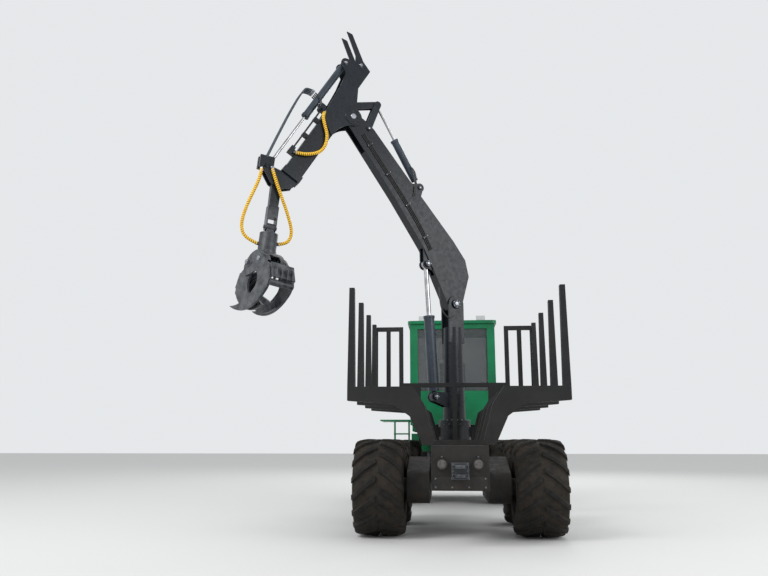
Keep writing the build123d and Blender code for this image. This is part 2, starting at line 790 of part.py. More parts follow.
# Extension: a tube that slides in the sleeve, with the head that carries the grapple
EXT_HALF = PLATE_IN - BOX_WALL - SLIDE_GAP
EXT_H = BOX_H - 2 * BOX_WALL - 2 * SLIDE_GAP
EXT_START = 40
HANG_EYE_W = 120
with BuildPart() as extension:
    with BuildSketch(BOX):
        with Locations(((EXT_START + BOX_L + 30) / 2, 0)):
            Rectangle(BOX_L + 30 - EXT_START, EXT_H)
    extrude(amount=EXT_HALF, both=True)
    with BuildSketch(BOX):
        with BuildLine():
            Polyline(
                (BOX_L + 10, -EXT_H / 2),
                (BOX_L + 120, -EXT_H / 2),
                (BOX_L + 290, 20),
                (BOX_L + 290, 210),
                (EXT_EYE_X + 60, EXT_FOOT[1] + 60),
                (EXT_EYE_X - 25, EXT_FOOT[1] + 60),
                (BOX_L + 10, 180),
                close=True,
            )
        make_face()
    extrude(amount=EXT_HALF, both=True)
    with BuildSketch(BOX):
        with Locations((BOX_L + 245, 150)):
            Rectangle(400, 720)
    extrude(amount=HANG_EYE_W / 2 + SLIDE_GAP, both=True, mode=Mode.SUBTRACT)
    with BuildSketch(BOX):
        with Locations(HANG):
            Circle(HANG_PIN_D / 2)
        with Locations((EXT_EYE_X, EXT_FOOT[1])):
            Circle(25)
    extrude(amount=EXT_HALF + 10, both=True)
keep(extension.part, "extension_boom")

# Extension cylinder above the outer boom, level with the sleeve
EXT_AXIS = tilted(BOX, *EXT_FOOT, 0)
EXT_CYL_L = EXT_EYE_X - EXT_FOOT[0]
keep(barrel(EXT_AXIS, 60, 1320, 95, 50, 120, ROD_EYE_W, 50), "extension_cylinder_barrel")
keep(rod(EXT_AXIS, 100, EXT_CYL_L, 50, 110, ROD_EYE_W, 50), "extension_cylinder_rod")

# Tip link, rotator and grapple, drawn down the line that they hang in
with BuildPart() as tip_link:
    with BuildSketch(CHAIN):
        bone((0, 0), 85, (470, 0), 75)
    extrude(amount=HANG_EYE_W / 2, both=True)
    with BuildSketch(Plane(origin=CHAIN.origin, x_dir=CHAIN.x_dir, z_dir=CHAIN.y_dir)):
        with BuildLine():
            Polyline((430, -70), (LINK_L, -70), (LINK_L, 70), (430, 70), close=True)
        make_face()
        with Locations((LINK_L, 0)):
            Circle(70)
    extrude(amount=90, both=True)
    with BuildSketch(Plane(origin=CHAIN.origin, x_dir=CHAIN.x_dir, z_dir=CHAIN.y_dir)):
        with Locations((LINK_L + 40, 0)):
            Rectangle(400, 200)
    extrude(amount=60 + SLIDE_GAP, both=True, mode=Mode.SUBTRACT)
    with BuildSketch(Plane(origin=CHAIN.origin, x_dir=CHAIN.x_dir, z_dir=CHAIN.y_dir)):
        with Locations((LINK_L, 0)):
            Circle(30)
    extrude(amount=110, both=True)
    with BuildSketch(CHAIN):
        Circle(HANG_PIN_D / 2 + PIN_GAP)
    extrude(amount=HANG_EYE_W, both=True, mode=Mode.SUBTRACT)
keep(tip_link.part, "tip_link")

with BuildPart() as rotator:
    with BuildSketch(Plane(origin=CHAIN.origin, x_dir=CHAIN.x_dir, z_dir=CHAIN.y_dir)):
        with Locations((LINK_L, 0)):
            Circle(70)
        with Locations((LINK_L + 70, 0)):
            Rectangle(140, 110)
    extrude(amount=60, both=True)
    with BuildSketch(Plane(origin=CHAIN.from_local_coords(Vector(ROTATOR_TOP, 0, 0)), z_dir=CHAIN.x_dir)):
        Circle(ROTATOR_D / 2)
    extrude(amount=ROTATOR_END - ROTATOR_TOP)
    with BuildSketch(Plane(origin=CHAIN.origin, x_dir=CHAIN.x_dir, z_dir=CHAIN.y_dir)):
        with Locations((LINK_L, 0)):
            Circle(30 + PIN_GAP)
    extrude(amount=120, both=True, mode=Mode.SUBTRACT)
keep(rotator.part, "rotator")

HEAD_HALF = CLAW_X - CLAW_T / 2 - SLIDE_GAP
with BuildPart() as grapple_frame:
    with BuildSketch(Plane(origin=CHAIN.from_local_coords(Vector(ROTATOR_END + SEAT_GAP, 0, 0)), z_dir=CHAIN.x_dir)):
        Circle(ROTATOR_D / 2 + 10)
    extrude(amount=50)
    with BuildSketch(GRAPPLE):
        with BuildLine():
            Polyline(
                (ROTATOR_END + 40, -120),
                (ROTATOR_END + 40, 120),
                (JAW_PIN[0] - 40, JAW_PIN[1] + 60),
                (JAW_PIN[0] + 50, JAW_PIN[1] + 60),
                (JAW_PIN[0] + 70, 0),
                (JAW_PIN[0] + 50, -JAW_PIN[1] - 60),
                (JAW_PIN[0] - 40, -JAW_PIN[1] - 60),
                close=True,
            )
        make_face()
    extrude(amount=HEAD_HALF, both=True)
    with BuildSketch(GRAPPLE):
        with Locations((JAW_PIN[0], JAW_PIN[1]), (JAW_PIN[0], -JAW_PIN[1])):
            Circle(JAW_PIN_D / 2)
    extrude(amount=CLAW_X + CLAW_T / 2 + 15, both=True)
    with BuildSketch(GRAPPLE):
        with Locations((JAW_PIN[0] + 230, 0)):
            Rectangle(600, 1000)
    extrude(amount=HEAD_SLOT / 2, both=True, mode=Mode.SUBTRACT)
keep(grapple_frame.part, "grapple_head")


def jaw(side):
    """One jaw: two curved claws joined by cross plates, on the given side of the head."""
    pin = (JAW_PIN[0], side * JAW_PIN[1])
    tip = (JAW_TIP[0], side * JAW_TIP[1])
    with BuildPart() as made:
        for claw in (-1, 1):
            with BuildSketch(GRAPPLE.offset(claw * CLAW_X - CLAW_T / 2)):
                with BuildLine():
                    ThreePointArc((JAW_PIN[0] - 70, side * 240), (1620, side * 600), tip)
                    ThreePointArc(tip, (1690, side * 420), (JAW_PIN[0] + 70, side * 150))
                    Line((JAW_PIN[0] + 70, side * 150), (JAW_PIN[0] - 70, side * 240))
                make_face()
                with Locations(pin):
                    Circle(85)
                with Locations(pin):
                    Circle(JAW_PIN_D / 2 + PIN_GAP, mode=Mode.SUBTRACT)
            extrude(amount=CLAW_T)
        for spot, turn in (((1600, side * 500), side * 35), ((1850, side * 430), side * -30)):
            with BuildSketch(GRAPPLE):
                with Locations(spot):
                    Rectangle(150, 40, rotation=turn)
            extrude(amount=CLAW_X, both=True)
        eye = (GRAB_EYE[0], side * GRAB_EYE[1])
        for lug in (-1, 1):
            near = ROD_EYE_W / 2 + SLIDE_GAP
            with BuildSketch(GRAPPLE.offset(near if lug > 0 else -near - LUG_T)):
                bone((1610, side * 490), 45, eye, 45)
            extrude(amount=LUG_T)
        if side > 0:
            with BuildSketch(GRAPPLE):
                with Locations(eye):
                    Circle(25)
            extrude(amount=ROD_EYE_W / 2 + SLIDE_GAP + LUG_T + 8, both=True)
    return made.part


keep(jaw(1), "grapple_jaw_left")
keep(jaw(-1), "grapple_jaw_right")


# Grapple cylinder, between the jaws
GRAB_AXIS = tilted(GRAPPLE, *GRAB_EYE, -90)
keep(barrel(GRAB_AXIS, 45, 480, 80, 40, 90, ROD_EYE_W, 50), "grapple_cylinder_barrel")
keep(rod(GRAB_AXIS, 220, 2 * GRAB_EYE[1], 40, 90, ROD_EYE_W, 50), "grapple_cylinder_rod")

# Front frame: the steering eye, the neck, the box beam and the engine deck
with BuildPart() as front_chassis:
    with BuildSketch(Plane.XY.offset(STEER_Z - STEER_BLOCK_T / 2)):
        with Locations((0, STEER_Y)):
            Circle(STEER_EYE_D / 2)
        with Locations((0, (STEER_Y + FRONT_FRAME_START + 200) / 2)):
            Rectangle(260, FRONT_FRAME_START + 200 - STEER_Y)
    extrude(amount=STEER_BLOCK_T)
    with BuildSketch(Plane.XY.offset(FRONT_FRAME_BOTTOM)):
        with Locations((0, (FRONT_FRAME_START + FRONT_END_Y) / 2)):
            Rectangle(FRONT_FRAME_W, FRONT_END_Y - FRONT_FRAME_START)
    extrude(amount=FRONT_FRAME_DEPTH)
    for side in (-1, 1):
        for z, cap in ((STEER_CYL_Z - 55, 0), (STEER_CYL_Z + 35, 15)):
            with BuildSketch(Plane.XY.offset(z)):
                ear(side * 100, (side * STEER_FRONT[0], STEER_Y + STEER_FRONT[1]), STEER_LUG_R)
            extrude(amount=20)
            if cap:
                with BuildSketch(Plane.XY.offset(z + 20)):
                    with Locations((side * STEER_FRONT[0], STEER_Y + STEER_FRONT[1])):
                        Circle(35)
                extrude(amount=cap)
    for y in (HOOD_REAR + 90, HOOD_FRONT - 190):
        with BuildSketch(Plane.XY.offset(FRONT_FRAME_TOP)):
            with Locations((0, y)):
                Rectangle(FRONT_FRAME_W, 100)
        extrude(amount=DECK_Z - FRONT_FRAME_TOP)
    with BuildSketch(Plane.XY.offset(DECK_Z)):
        with Locations((0, (HOOD_REAR + HOOD_WALL + 10 + FRONT_END_Y) / 2)):
            Rectangle(HOOD_W - 2 * HOOD_WALL - 20, FRONT_END_Y - HOOD_REAR - HOOD_WALL - 10)
            Rectangle(760, 1400, mode=Mode.SUBTRACT)
    extrude(amount=DECK_T)
    with BuildSketch(Plane.XY.offset(STEER_Z - STEER_BLOCK_T)):
        with Locations((0, STEER_Y)):
            Circle(STEER_PIN_D / 2 + PIN_GAP)
    extrude(amount=2 * STEER_BLOCK_T, mode=Mode.SUBTRACT)
keep(front_chassis.part, "front_chassis")

# Steering cylinders, one each side of the joint
STEER_CYL_L = (
    (STEER_REAR[0] - STEER_FRONT[0]) ** 2 + (STEER_FRONT[1] - STEER_REAR[1]) ** 2
) ** 0.5
for side_name, side in (("left", -1), ("right", 1)):
    foot = Vector(side * STEER_REAR[0], STEER_Y + STEER_REAR[1], STEER_CYL_Z)
    eye = Vector(side * STEER_FRONT[0], STEER_Y + STEER_FRONT[1], STEER_CYL_Z)
    base = Plane(origin=foot, x_dir=eye - foot, z_dir=(0, 0, 1))
    keep(barrel(base, 65, 800, 80, 50, 110, 60, 50), f"steering_barrel_{side_name}")
    keep(rod(base, 480, STEER_CYL_L, 50, 90, 60, 50), f"steering_rod_{side_name}")

HOOD_PIN = (FRONT_END_Y + 85, HOOD_BOTTOM)
with BuildPart() as bumper:
    with BuildSketch(Plane.XY.offset(BUMPER_BOTTOM)):
        with Locations((0, FRONT_END_Y + BUMPER_T / 2)):
            Rectangle(BUMPER_W, BUMPER_T)
    extrude(amount=BUMPER_TOP - BUMPER_BOTTOM)
    for side in (-1, 1):
        with BuildSketch(Plane(origin=(side * 500, 0, 0), x_dir=(0, 1, 0), z_dir=(1, 0, 0))):
            with Locations(HOOD_PIN):
                Circle(22)
            with Locations((HOOD_PIN[0], BUMPER_TOP)):
                Rectangle(90, 2)
            make_hull()
        extrude(amount=15, both=True)
        with BuildSketch(Plane(origin=(side * 520, 0, 0), x_dir=(0, 1, 0), z_dir=(1, 0, 0))):
            with Locations(HOOD_PIN):
                Circle(10)
        extrude(amount=22, both=True)
keep(bumper.part, "front_bumper")

with BuildPart() as engine_block:
    with BuildSketch(Plane.XY.offset(FRONT_FRAME_TOP)):
        with Locations((0, (HOOD_REAR + FRONT_END_Y) / 2)):
            Rectangle(700, 1250)
    extrude(amount=800)
keep(engine_block.part, "engine_block")

tanks = []
for side in (-1, 1):
    with BuildPart() as tank:
        with BuildSketch(Plane.XY.offset(TANK_Z)):
            with Locations((side * (TANK_X + 40) / 2, (3960 + CAB_FRONT) / 2)):
                Rectangle(TANK_X - 40, CAB_FRONT - 3960)
        extrude(amount=CAB_FLOOR - TANK_Z)
    tanks.append(tank.part)
keep(Compound(children=tanks), "underfloor_tanks")

# Cab: a hollow shell with its windows and doorway cut, a roof, panes, a door and a seat
SIDE = Plane(origin=(0, 0, 0), x_dir=(0, 1, 0), z_dir=(1, 0, 0))
SHELL_TOP = CAB_TOP - ROOF_T
CAB_HALF = CAB_W / 2
DOOR_HINGE = (-CAB_HALF - HINGE_OUT, DOOR_FRONT)
WINDSCREEN_FOOT = 2250
FRONT_LEAN = 120
REAR_LEAN = 30
FRONT_TOP_Y = CAB_FRONT - FRONT_LEAN
REAR_TOP_Y = CAB_REAR + REAR_LEAN
with BuildPart() as cab_shell:
    with BuildSketch(SIDE):
        with BuildLine():
            Polyline(
                (CAB_REAR, CAB_FLOOR),
                (CAB_FRONT, CAB_FLOOR),
                (CAB_FRONT, WINDSCREEN_FOOT),
                (FRONT_TOP_Y, SHELL_TOP),
                (REAR_TOP_Y, SHELL_TOP),
                close=True,
            )
        make_face()
    extrude(amount=CAB_HALF, both=True)
    with BuildSketch(SIDE):
        with BuildLine():
            Polyline(
                (CAB_REAR + CAB_WALL, CAB_FLOOR + CAB_WALL),
                (CAB_FRONT - CAB_WALL, CAB_FLOOR + CAB_WALL),
                (CAB_FRONT - CAB_WALL, WINDSCREEN_FOOT),
                (FRONT_TOP_Y - CAB_WALL, SHELL_TOP),
                (REAR_TOP_Y + CAB_WALL, SHELL_TOP),
                close=True,
            )
        make_face()
    extrude(amount=CAB_HALF - CAB_WALL, both=True, mode=Mode.SUBTRACT)
    for y, wide, foot in ((CAB_REAR, CAB_W - 300, SILL_Z), (CAB_FRONT, CAB_W - 200, WINDSCREEN_FOOT + 30)):
        with BuildSketch(Plane.XZ.offset(-y - 200)):
            with Locations((0, (foot + WINDOW_TOP) / 2)):
                Rectangle(wide, WINDOW_TOP - foot)
        extrude(amount=400, mode=Mode.SUBTRACT)
    with BuildSketch(SIDE.offset(CAB_HALF - CAB_WALL - 10)):
        with Locations(((3740 + 4820) / 2, (SILL_Z + WINDOW_TOP) / 2)):
            Rectangle(1080, WINDOW_TOP - SILL_Z)
    extrude(amount=CAB_WALL + 20, mode=Mode.SUBTRACT)
    with BuildSketch(SIDE.offset(-CAB_HALF - 10)):
        with Locations(((DOOR_REAR + DOOR_FRONT) / 2, (DOOR_SILL + DOOR_TOP) / 2)):
            Rectangle(DOOR_FRONT - DOOR_REAR, DOOR_TOP - DOOR_SILL)
    extrude(amount=CAB_WALL + 20, mode=Mode.SUBTRACT)
    for hinge_z in HINGE_ZS:
        for z in (hinge_z - HINGE_H / 2 - SEAT_GAP - HINGE_CAP, hinge_z + HINGE_H / 2 + SEAT_GAP):
            with BuildSketch(Plane.XY.offset(z)):
                with Locations(DOOR_HINGE):
                    Circle(HINGE_R)
                with Locations((DOOR_HINGE[0] + (HINGE_OUT - HINGE_R) / 2, DOOR_FRONT + 30)):
                    Rectangle(HINGE_OUT + HINGE_R, 60)
            extrude(amount=HINGE_CAP)
keep(cab_shell.part, "cab_shell")

with BuildPart() as cab_roof:
    with BuildSketch(Plane.XY.offset(SHELL_TOP)):
        with Locations((0, (REAR_TOP_Y + FRONT_TOP_Y) / 2)):
            RectangleRounded(CAB_W + 2 * ROOF_LIP, FRONT_TOP_Y - REAR_TOP_Y + 2 * ROOF_LIP, 90)
    extrude(amount=ROOF_T)
keep(cab_roof.part, "cab_roof")

panes = []
for y, wide, foot, top, lean in (
    (CAB_REAR + CAB_WALL / 2, CAB_W - 300, SILL_Z, WINDOW_TOP, REAR_LEAN / (SHELL_TOP - CAB_FLOOR)),
    (CAB_FRONT - CAB_WALL / 2, CAB_W - 200, WINDSCREEN_FOOT + 30, WINDOW_TOP, 0),
):
    front = y > CAB_REAR + CAB_WALL
    slope = -FRONT_LEAN / (SHELL_TOP - WINDSCREEN_FOOT) if front else lean
    base_z = WINDSCREEN_FOOT if front else CAB_FLOOR
    with BuildPart() as pane:
        with BuildSketch(SIDE):
            with BuildLine():
                Polyline(
                    (y - GLASS_T / 2 + slope * (foot - base_z), foot + SEAT_GAP),
                    (y + GLASS_T / 2 + slope * (foot - base_z), foot + SEAT_GAP),
                    (y + GLASS_T / 2 + slope * (top - base_z), top - SEAT_GAP),
                    (y - GLASS_T / 2 + slope * (top - base_z), top - SEAT_GAP),
                    close=True,
                )
            make_face()
        extrude(amount=wide / 2 - SEAT_GAP, both=True)
    panes.append(pane.part)
with BuildPart() as side_pane:
    with BuildSketch(SIDE.offset(CAB_HALF - CAB_WALL / 2 - GLASS_T / 2)):
        with Locations(((3740 + 4820) / 2, (SILL_Z + WINDOW_TOP) / 2)):
            Rectangle(1080 - 2 * SEAT_GAP, WINDOW_TOP - SILL_Z - 2 * SEAT_GAP)
    extrude(amount=GLASS_T)
panes.append(side_pane.part)
keep(Compound(children=panes), "cab_windows")

DOOR_WINDOW = (DOOR_FRONT - DOOR_REAR - 180, DOOR_TOP - SILL_Z - 110)
DOOR_WINDOW_AT = ((DOOR_REAR + DOOR_FRONT) / 2, SILL_Z + 20 + DOOR_WINDOW[1] / 2)
with BuildPart() as cab_door:
    with BuildSketch(SIDE.offset(-CAB_HALF)):
        with Locations(((DOOR_REAR + DOOR_FRONT) / 2, (DOOR_SILL + DOOR_TOP) / 2)):
            Rectangle(DOOR_FRONT - DOOR_REAR - 2 * DOOR_GAP, DOOR_TOP - DOOR_SILL - 2 * DOOR_GAP)
        with Locations(DOOR_WINDOW_AT):
            Rectangle(*DOOR_WINDOW, mode=Mode.SUBTRACT)
    extrude(amount=CAB_WALL)
    for hinge_z in HINGE_ZS:
        with BuildSketch(Plane.XY.offset(hinge_z - HINGE_H / 2)):
            with Locations(DOOR_HINGE):
                Circle(HINGE_R)
            with Locations((DOOR_HINGE[0] + (HINGE_OUT - HINGE_R) / 2, DOOR_FRONT - HINGE_L / 2 - 6)):
                Rectangle(HINGE_OUT + HINGE_R, HINGE_L)
            with Locations((DOOR_HINGE[0] - HINGE_R / 2 + 3, DOOR_FRONT - 6)):
                Rectangle(HINGE_R, 14)
        extrude(amount=HINGE_H)
keep(cab_door.part, "cab_door")

with BuildPart() as door_window:
    with BuildSketch(SIDE.offset(-CAB_HALF + CAB_WALL / 2 - GLASS_T / 2)):
        with Locations(DOOR_WINDOW_AT):
            Rectangle(DOOR_WINDOW[0] - 2 * SEAT_GAP, DOOR_WINDOW[1] - 2 * SEAT_GAP)
    extrude(amount=GLASS_T)
keep(door_window.part, "door_window")

with BuildPart() as seat:
    with BuildSketch(Plane.XY.offset(CAB_FLOOR + CAB_WALL)):
        with Locations((0, 4200)):
            Rectangle(320, 360)
    extrude(amount=330)
    with BuildSketch(SIDE):
        with BuildLine():
            Polyline(
                (3980, 1890), (4480, 1890), (4480, 2010), (4110, 2010), (4020, 2700), (3910, 2700), (3960, 1890), close=True
            )
        make_face()
    extrude(amount=250, both=True)
keep(seat.part, "cab_seat")

lamps = []
for x in (-560, 560):
    for y in (REAR_TOP_Y + 60, FRONT_TOP_Y - 60):
        with BuildPart() as lamp:
            with BuildSketch(Plane.XY.offset(CAB_TOP)):
                with Locations((x, y)):
                    Rectangle(170, 110)
            extrude(amount=95)
        lamps.append(lamp.part)
keep(Compound(children=lamps), "roof_lamps")

# Green access platform and steps on the left
with BuildPart() as steps:
    with BuildSketch(Plane.XY.offset(PLATFORM_Z - 25)):
        with Locations(((-CAB_HALF - 1400) / 2, 4060)):
            Rectangle(1400 - CAB_HALF, 920)
    extrude(amount=25)
    with BuildSketch(Plane.XY.offset(PLATFORM_Z - 25)):
        with Locations((-1120, 3630)):
            Rectangle(30, 60)
        with Locations((-850, 3630)):
            Rectangle(30, 60)
    extrude(amount=-850)
    for z in (760, 1040, 1320):
        with BuildSketch(Plane.XY.offset(z)):
            with Locations((-985, 3610)):
                Rectangle(300, 160)
        extrude(amount=25)
keep(steps.part, "access_steps")

# Engine hood, hinged on the bumper, and its grille
with BuildPart() as hood:
    with BuildSketch(SIDE):
        with BuildLine():
            Polyline(
                (HOOD_REAR, HOOD_BOTTOM),
                (HOOD_FRONT, HOOD_BOTTOM),
                (HOOD_FRONT, 1950),
                (HOOD_FRONT - 140, HOOD_FRONT_TOP),
                (HOOD_REAR, HOOD_TOP),
                close=True,
            )
        make_face()
    extrude(amount=HOOD_W / 2, both=True)
    with BuildSketch(SIDE):
        with BuildLine():
            Polyline(
                (HOOD_REAR + HOOD_WALL, HOOD_BOTTOM - 10),
                (HOOD_FRONT - HOOD_WALL, HOOD_BOTTOM - 10),
                (HOOD_FRONT - HOOD_WALL, 1940),
                (HOOD_FRONT - 155, HOOD_FRONT_TOP - HOOD_WALL),
                (HOOD_REAR + HOOD_WALL, HOOD_TOP - HOOD_WALL),
                close=True,
            )
        make_face()
    extrude(amount=HOOD_W / 2 - HOOD_WALL, both=True, mode=Mode.SUBTRACT)
    with BuildSketch(Plane.XZ.offset(-HOOD_FRONT - 10)):
        with Locations((0, 1660)):
            Rectangle(1200, 440)
    extrude(amount=HOOD_WALL + 20, mode=Mode.SUBTRACT)
    for side in (-1, 1):
        with BuildSketch(Plane(origin=(side * 532, 0, 0), x_dir=(0, 1, 0), z_dir=(1, 0, 0))):
            with Locations(HOOD_PIN):
                Circle(22)
            with Locations((HOOD_FRONT - 2, HOOD_BOTTOM + 15)):
                Rectangle(4, 30)
            make_hull()
            with Locations(HOOD_PIN):
                Circle(10 + PIN_GAP, mode=Mode.SUBTRACT)
        extrude(amount=11, both=True)
keep(hood.part, "engine_hood")

with BuildPart() as grille:
    with BuildSketch(Plane.XZ.offset(-HOOD_FRONT)):
        with Locations((0, 1660)):
            Rectangle(1200 - 2 * SEAT_GAP, 440 - 2 * SEAT_GAP)
            with GridLocations(0, 52, 1, 8):
                Rectangle(1120, 26, mode=Mode.SUBTRACT)
    extrude(amount=HOOD_WALL)
keep(grille.part, "hood_grille")

# Write every piece about the middle of the whole object's floor
boxes = [piece.bounding_box() for piece in pieces]
LOW = Vector(*(min(getattr(box.min, axis) for box in boxes) for axis in "XYZ"))
HIGH = Vector(*(max(getattr(box.max, axis) for box in boxes) for axis in "XYZ"))
SHIFT = Vector(-(LOW.X + HIGH.X) / 2, -(LOW.Y + HIGH.Y) / 2, -LOW.Z)
os.makedirs("parts", exist_ok=True)
for piece in pieces:
    label = piece.label
    placed = Compound(children=[solid.moved(Location(SHIFT)) for solid in piece.solids()])
    placed.label = label
    export_step(placed, f"parts/{label}.step")
print("shift", SHIFT, "size", HIGH - LOW)
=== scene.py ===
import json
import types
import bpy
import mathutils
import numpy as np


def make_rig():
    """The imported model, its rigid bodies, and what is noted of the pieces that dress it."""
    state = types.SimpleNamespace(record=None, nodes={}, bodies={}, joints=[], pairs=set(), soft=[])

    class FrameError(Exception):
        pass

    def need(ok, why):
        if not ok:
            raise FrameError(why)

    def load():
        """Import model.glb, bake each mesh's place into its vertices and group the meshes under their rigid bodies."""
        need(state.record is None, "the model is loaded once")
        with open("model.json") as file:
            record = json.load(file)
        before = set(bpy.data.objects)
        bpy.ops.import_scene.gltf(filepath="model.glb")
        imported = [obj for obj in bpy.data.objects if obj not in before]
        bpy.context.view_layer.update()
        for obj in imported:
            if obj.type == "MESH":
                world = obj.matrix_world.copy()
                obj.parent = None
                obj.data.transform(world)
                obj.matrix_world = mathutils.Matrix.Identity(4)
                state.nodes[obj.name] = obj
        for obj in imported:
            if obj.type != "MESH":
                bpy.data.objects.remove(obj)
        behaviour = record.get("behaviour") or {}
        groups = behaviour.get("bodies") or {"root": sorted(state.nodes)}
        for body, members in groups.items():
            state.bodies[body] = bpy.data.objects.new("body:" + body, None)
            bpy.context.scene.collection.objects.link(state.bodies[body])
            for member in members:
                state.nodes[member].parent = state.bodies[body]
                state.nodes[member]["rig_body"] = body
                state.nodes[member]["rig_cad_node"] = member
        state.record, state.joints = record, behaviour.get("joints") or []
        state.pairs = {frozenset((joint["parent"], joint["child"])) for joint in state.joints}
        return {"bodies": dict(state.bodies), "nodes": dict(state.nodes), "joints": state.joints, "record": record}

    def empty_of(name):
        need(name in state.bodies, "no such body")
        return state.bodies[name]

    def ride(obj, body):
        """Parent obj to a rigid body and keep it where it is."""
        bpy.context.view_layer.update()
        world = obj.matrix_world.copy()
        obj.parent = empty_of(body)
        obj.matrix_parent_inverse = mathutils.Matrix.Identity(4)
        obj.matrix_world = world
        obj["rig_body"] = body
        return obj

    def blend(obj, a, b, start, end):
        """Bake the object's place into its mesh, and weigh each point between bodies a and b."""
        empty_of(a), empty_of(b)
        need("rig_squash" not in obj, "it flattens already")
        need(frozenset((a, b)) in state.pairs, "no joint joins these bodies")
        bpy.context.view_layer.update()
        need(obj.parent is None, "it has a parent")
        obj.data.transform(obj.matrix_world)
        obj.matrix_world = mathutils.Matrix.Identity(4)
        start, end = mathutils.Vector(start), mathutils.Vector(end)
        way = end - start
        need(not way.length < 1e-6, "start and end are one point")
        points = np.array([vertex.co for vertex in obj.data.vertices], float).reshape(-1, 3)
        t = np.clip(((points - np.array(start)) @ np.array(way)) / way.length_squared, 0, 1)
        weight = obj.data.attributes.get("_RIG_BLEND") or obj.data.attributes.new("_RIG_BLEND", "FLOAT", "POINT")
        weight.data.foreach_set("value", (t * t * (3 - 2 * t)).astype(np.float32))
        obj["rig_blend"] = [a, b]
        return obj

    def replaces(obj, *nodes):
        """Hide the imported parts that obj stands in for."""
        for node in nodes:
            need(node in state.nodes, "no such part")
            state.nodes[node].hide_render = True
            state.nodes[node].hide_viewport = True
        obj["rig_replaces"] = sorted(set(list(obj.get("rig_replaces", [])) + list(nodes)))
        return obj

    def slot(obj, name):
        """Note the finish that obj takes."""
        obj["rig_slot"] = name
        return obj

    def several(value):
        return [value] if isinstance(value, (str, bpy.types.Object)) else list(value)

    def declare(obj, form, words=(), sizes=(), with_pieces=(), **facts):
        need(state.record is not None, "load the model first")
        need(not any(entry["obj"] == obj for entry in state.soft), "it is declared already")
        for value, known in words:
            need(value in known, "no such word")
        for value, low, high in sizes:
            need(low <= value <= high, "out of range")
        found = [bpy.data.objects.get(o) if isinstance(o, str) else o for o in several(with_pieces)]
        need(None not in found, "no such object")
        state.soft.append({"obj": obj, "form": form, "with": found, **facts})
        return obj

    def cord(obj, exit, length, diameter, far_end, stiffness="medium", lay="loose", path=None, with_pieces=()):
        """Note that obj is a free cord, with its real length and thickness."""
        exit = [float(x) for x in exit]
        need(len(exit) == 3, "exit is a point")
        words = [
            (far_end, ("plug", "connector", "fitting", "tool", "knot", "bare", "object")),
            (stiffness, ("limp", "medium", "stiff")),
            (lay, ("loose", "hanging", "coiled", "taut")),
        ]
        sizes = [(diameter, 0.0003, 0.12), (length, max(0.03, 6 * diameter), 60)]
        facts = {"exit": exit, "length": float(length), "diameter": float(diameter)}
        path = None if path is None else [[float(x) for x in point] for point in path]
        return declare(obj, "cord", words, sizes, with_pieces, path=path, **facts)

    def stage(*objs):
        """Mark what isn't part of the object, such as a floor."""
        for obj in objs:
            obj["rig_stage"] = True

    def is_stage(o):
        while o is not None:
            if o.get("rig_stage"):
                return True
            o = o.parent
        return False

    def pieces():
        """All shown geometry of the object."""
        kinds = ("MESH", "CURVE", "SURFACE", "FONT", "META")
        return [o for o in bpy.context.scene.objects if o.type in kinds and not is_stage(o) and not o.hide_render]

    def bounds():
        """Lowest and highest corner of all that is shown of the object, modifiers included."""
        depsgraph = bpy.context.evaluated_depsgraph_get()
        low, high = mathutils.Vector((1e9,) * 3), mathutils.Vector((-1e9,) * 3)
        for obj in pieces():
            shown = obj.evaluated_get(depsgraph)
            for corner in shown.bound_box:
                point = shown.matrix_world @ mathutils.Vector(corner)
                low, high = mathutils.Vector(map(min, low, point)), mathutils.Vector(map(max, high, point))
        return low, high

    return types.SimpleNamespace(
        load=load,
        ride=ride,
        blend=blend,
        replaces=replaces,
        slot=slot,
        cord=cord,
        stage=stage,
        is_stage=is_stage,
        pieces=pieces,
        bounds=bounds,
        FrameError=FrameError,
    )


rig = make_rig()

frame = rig.load()

import json
import math

import bmesh
import bpy
from mathutils import Vector

CAD_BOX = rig.bounds()
NODES = frame["nodes"]
BODY_OF = {node: body for body, nodes in frame["record"]["behaviour"]["bodies"].items() for node in nodes}
SLOT_OF = {part["node"]: part["material_slot"] for part in frame["record"]["subparts"]}
RECORD_SLOTS = set(SLOT_OF.values())
JOINTS = {joint["name"]: joint for joint in frame["record"]["behaviour"]["joints"]}

# The camera stands behind the machine at a person's eye level and looks up at the crane
CAMERA_BACK = (-0.170, -10.75, 1.2)
CAMERA_PITCH = 11.68
CAMERA_YAW = 4.615
CAMERA_LENS = 34.69
FLOOR_SIZE = 120
FLOOR_COLOUR = (0.60, 0.60, 0.59)

# Places that the frame's joints don't give, in metres: the steering pin from the machine's zero, the
# tip link's pin from the start of the sleeve, and the knee from the foot of the main boom
STEER_AT = (0, 3.3, 1.0)
HANG_AT = (1.7, 0.12)
KNEE_AT = (3.77, 0.34)
BOOM_HALF = 0.105

# Edges that turn by more than this many degrees stay sharp
SHARP_EDGE = 35

# A face's kind: which paint of its heap's list it takes
MAIN = 0
SECOND = 1
THIRD = 2


def pivot(joint):
    return Vector(JOINTS[joint]["pos_m"])


def axis_of(joint):
    return Vector(JOINTS[joint]["axis"])


class Place:
    """A place to draw in, in the row frame: x and y lie in its plane and z stands off it, in metres."""

    def __init__(self, origin, x, y):
        self.origin = Vector(origin)
        self.x = Vector(x).normalized()
        self.y = Vector(y).normalized()
        self.z = self.x.cross(self.y)

    def at(self, x, y=0.0, z=0.0):
        return self.origin + self.x * x + self.y * y + self.z * z

    def points(self, *spots):
        return [self.at(*spot) for spot in spots]


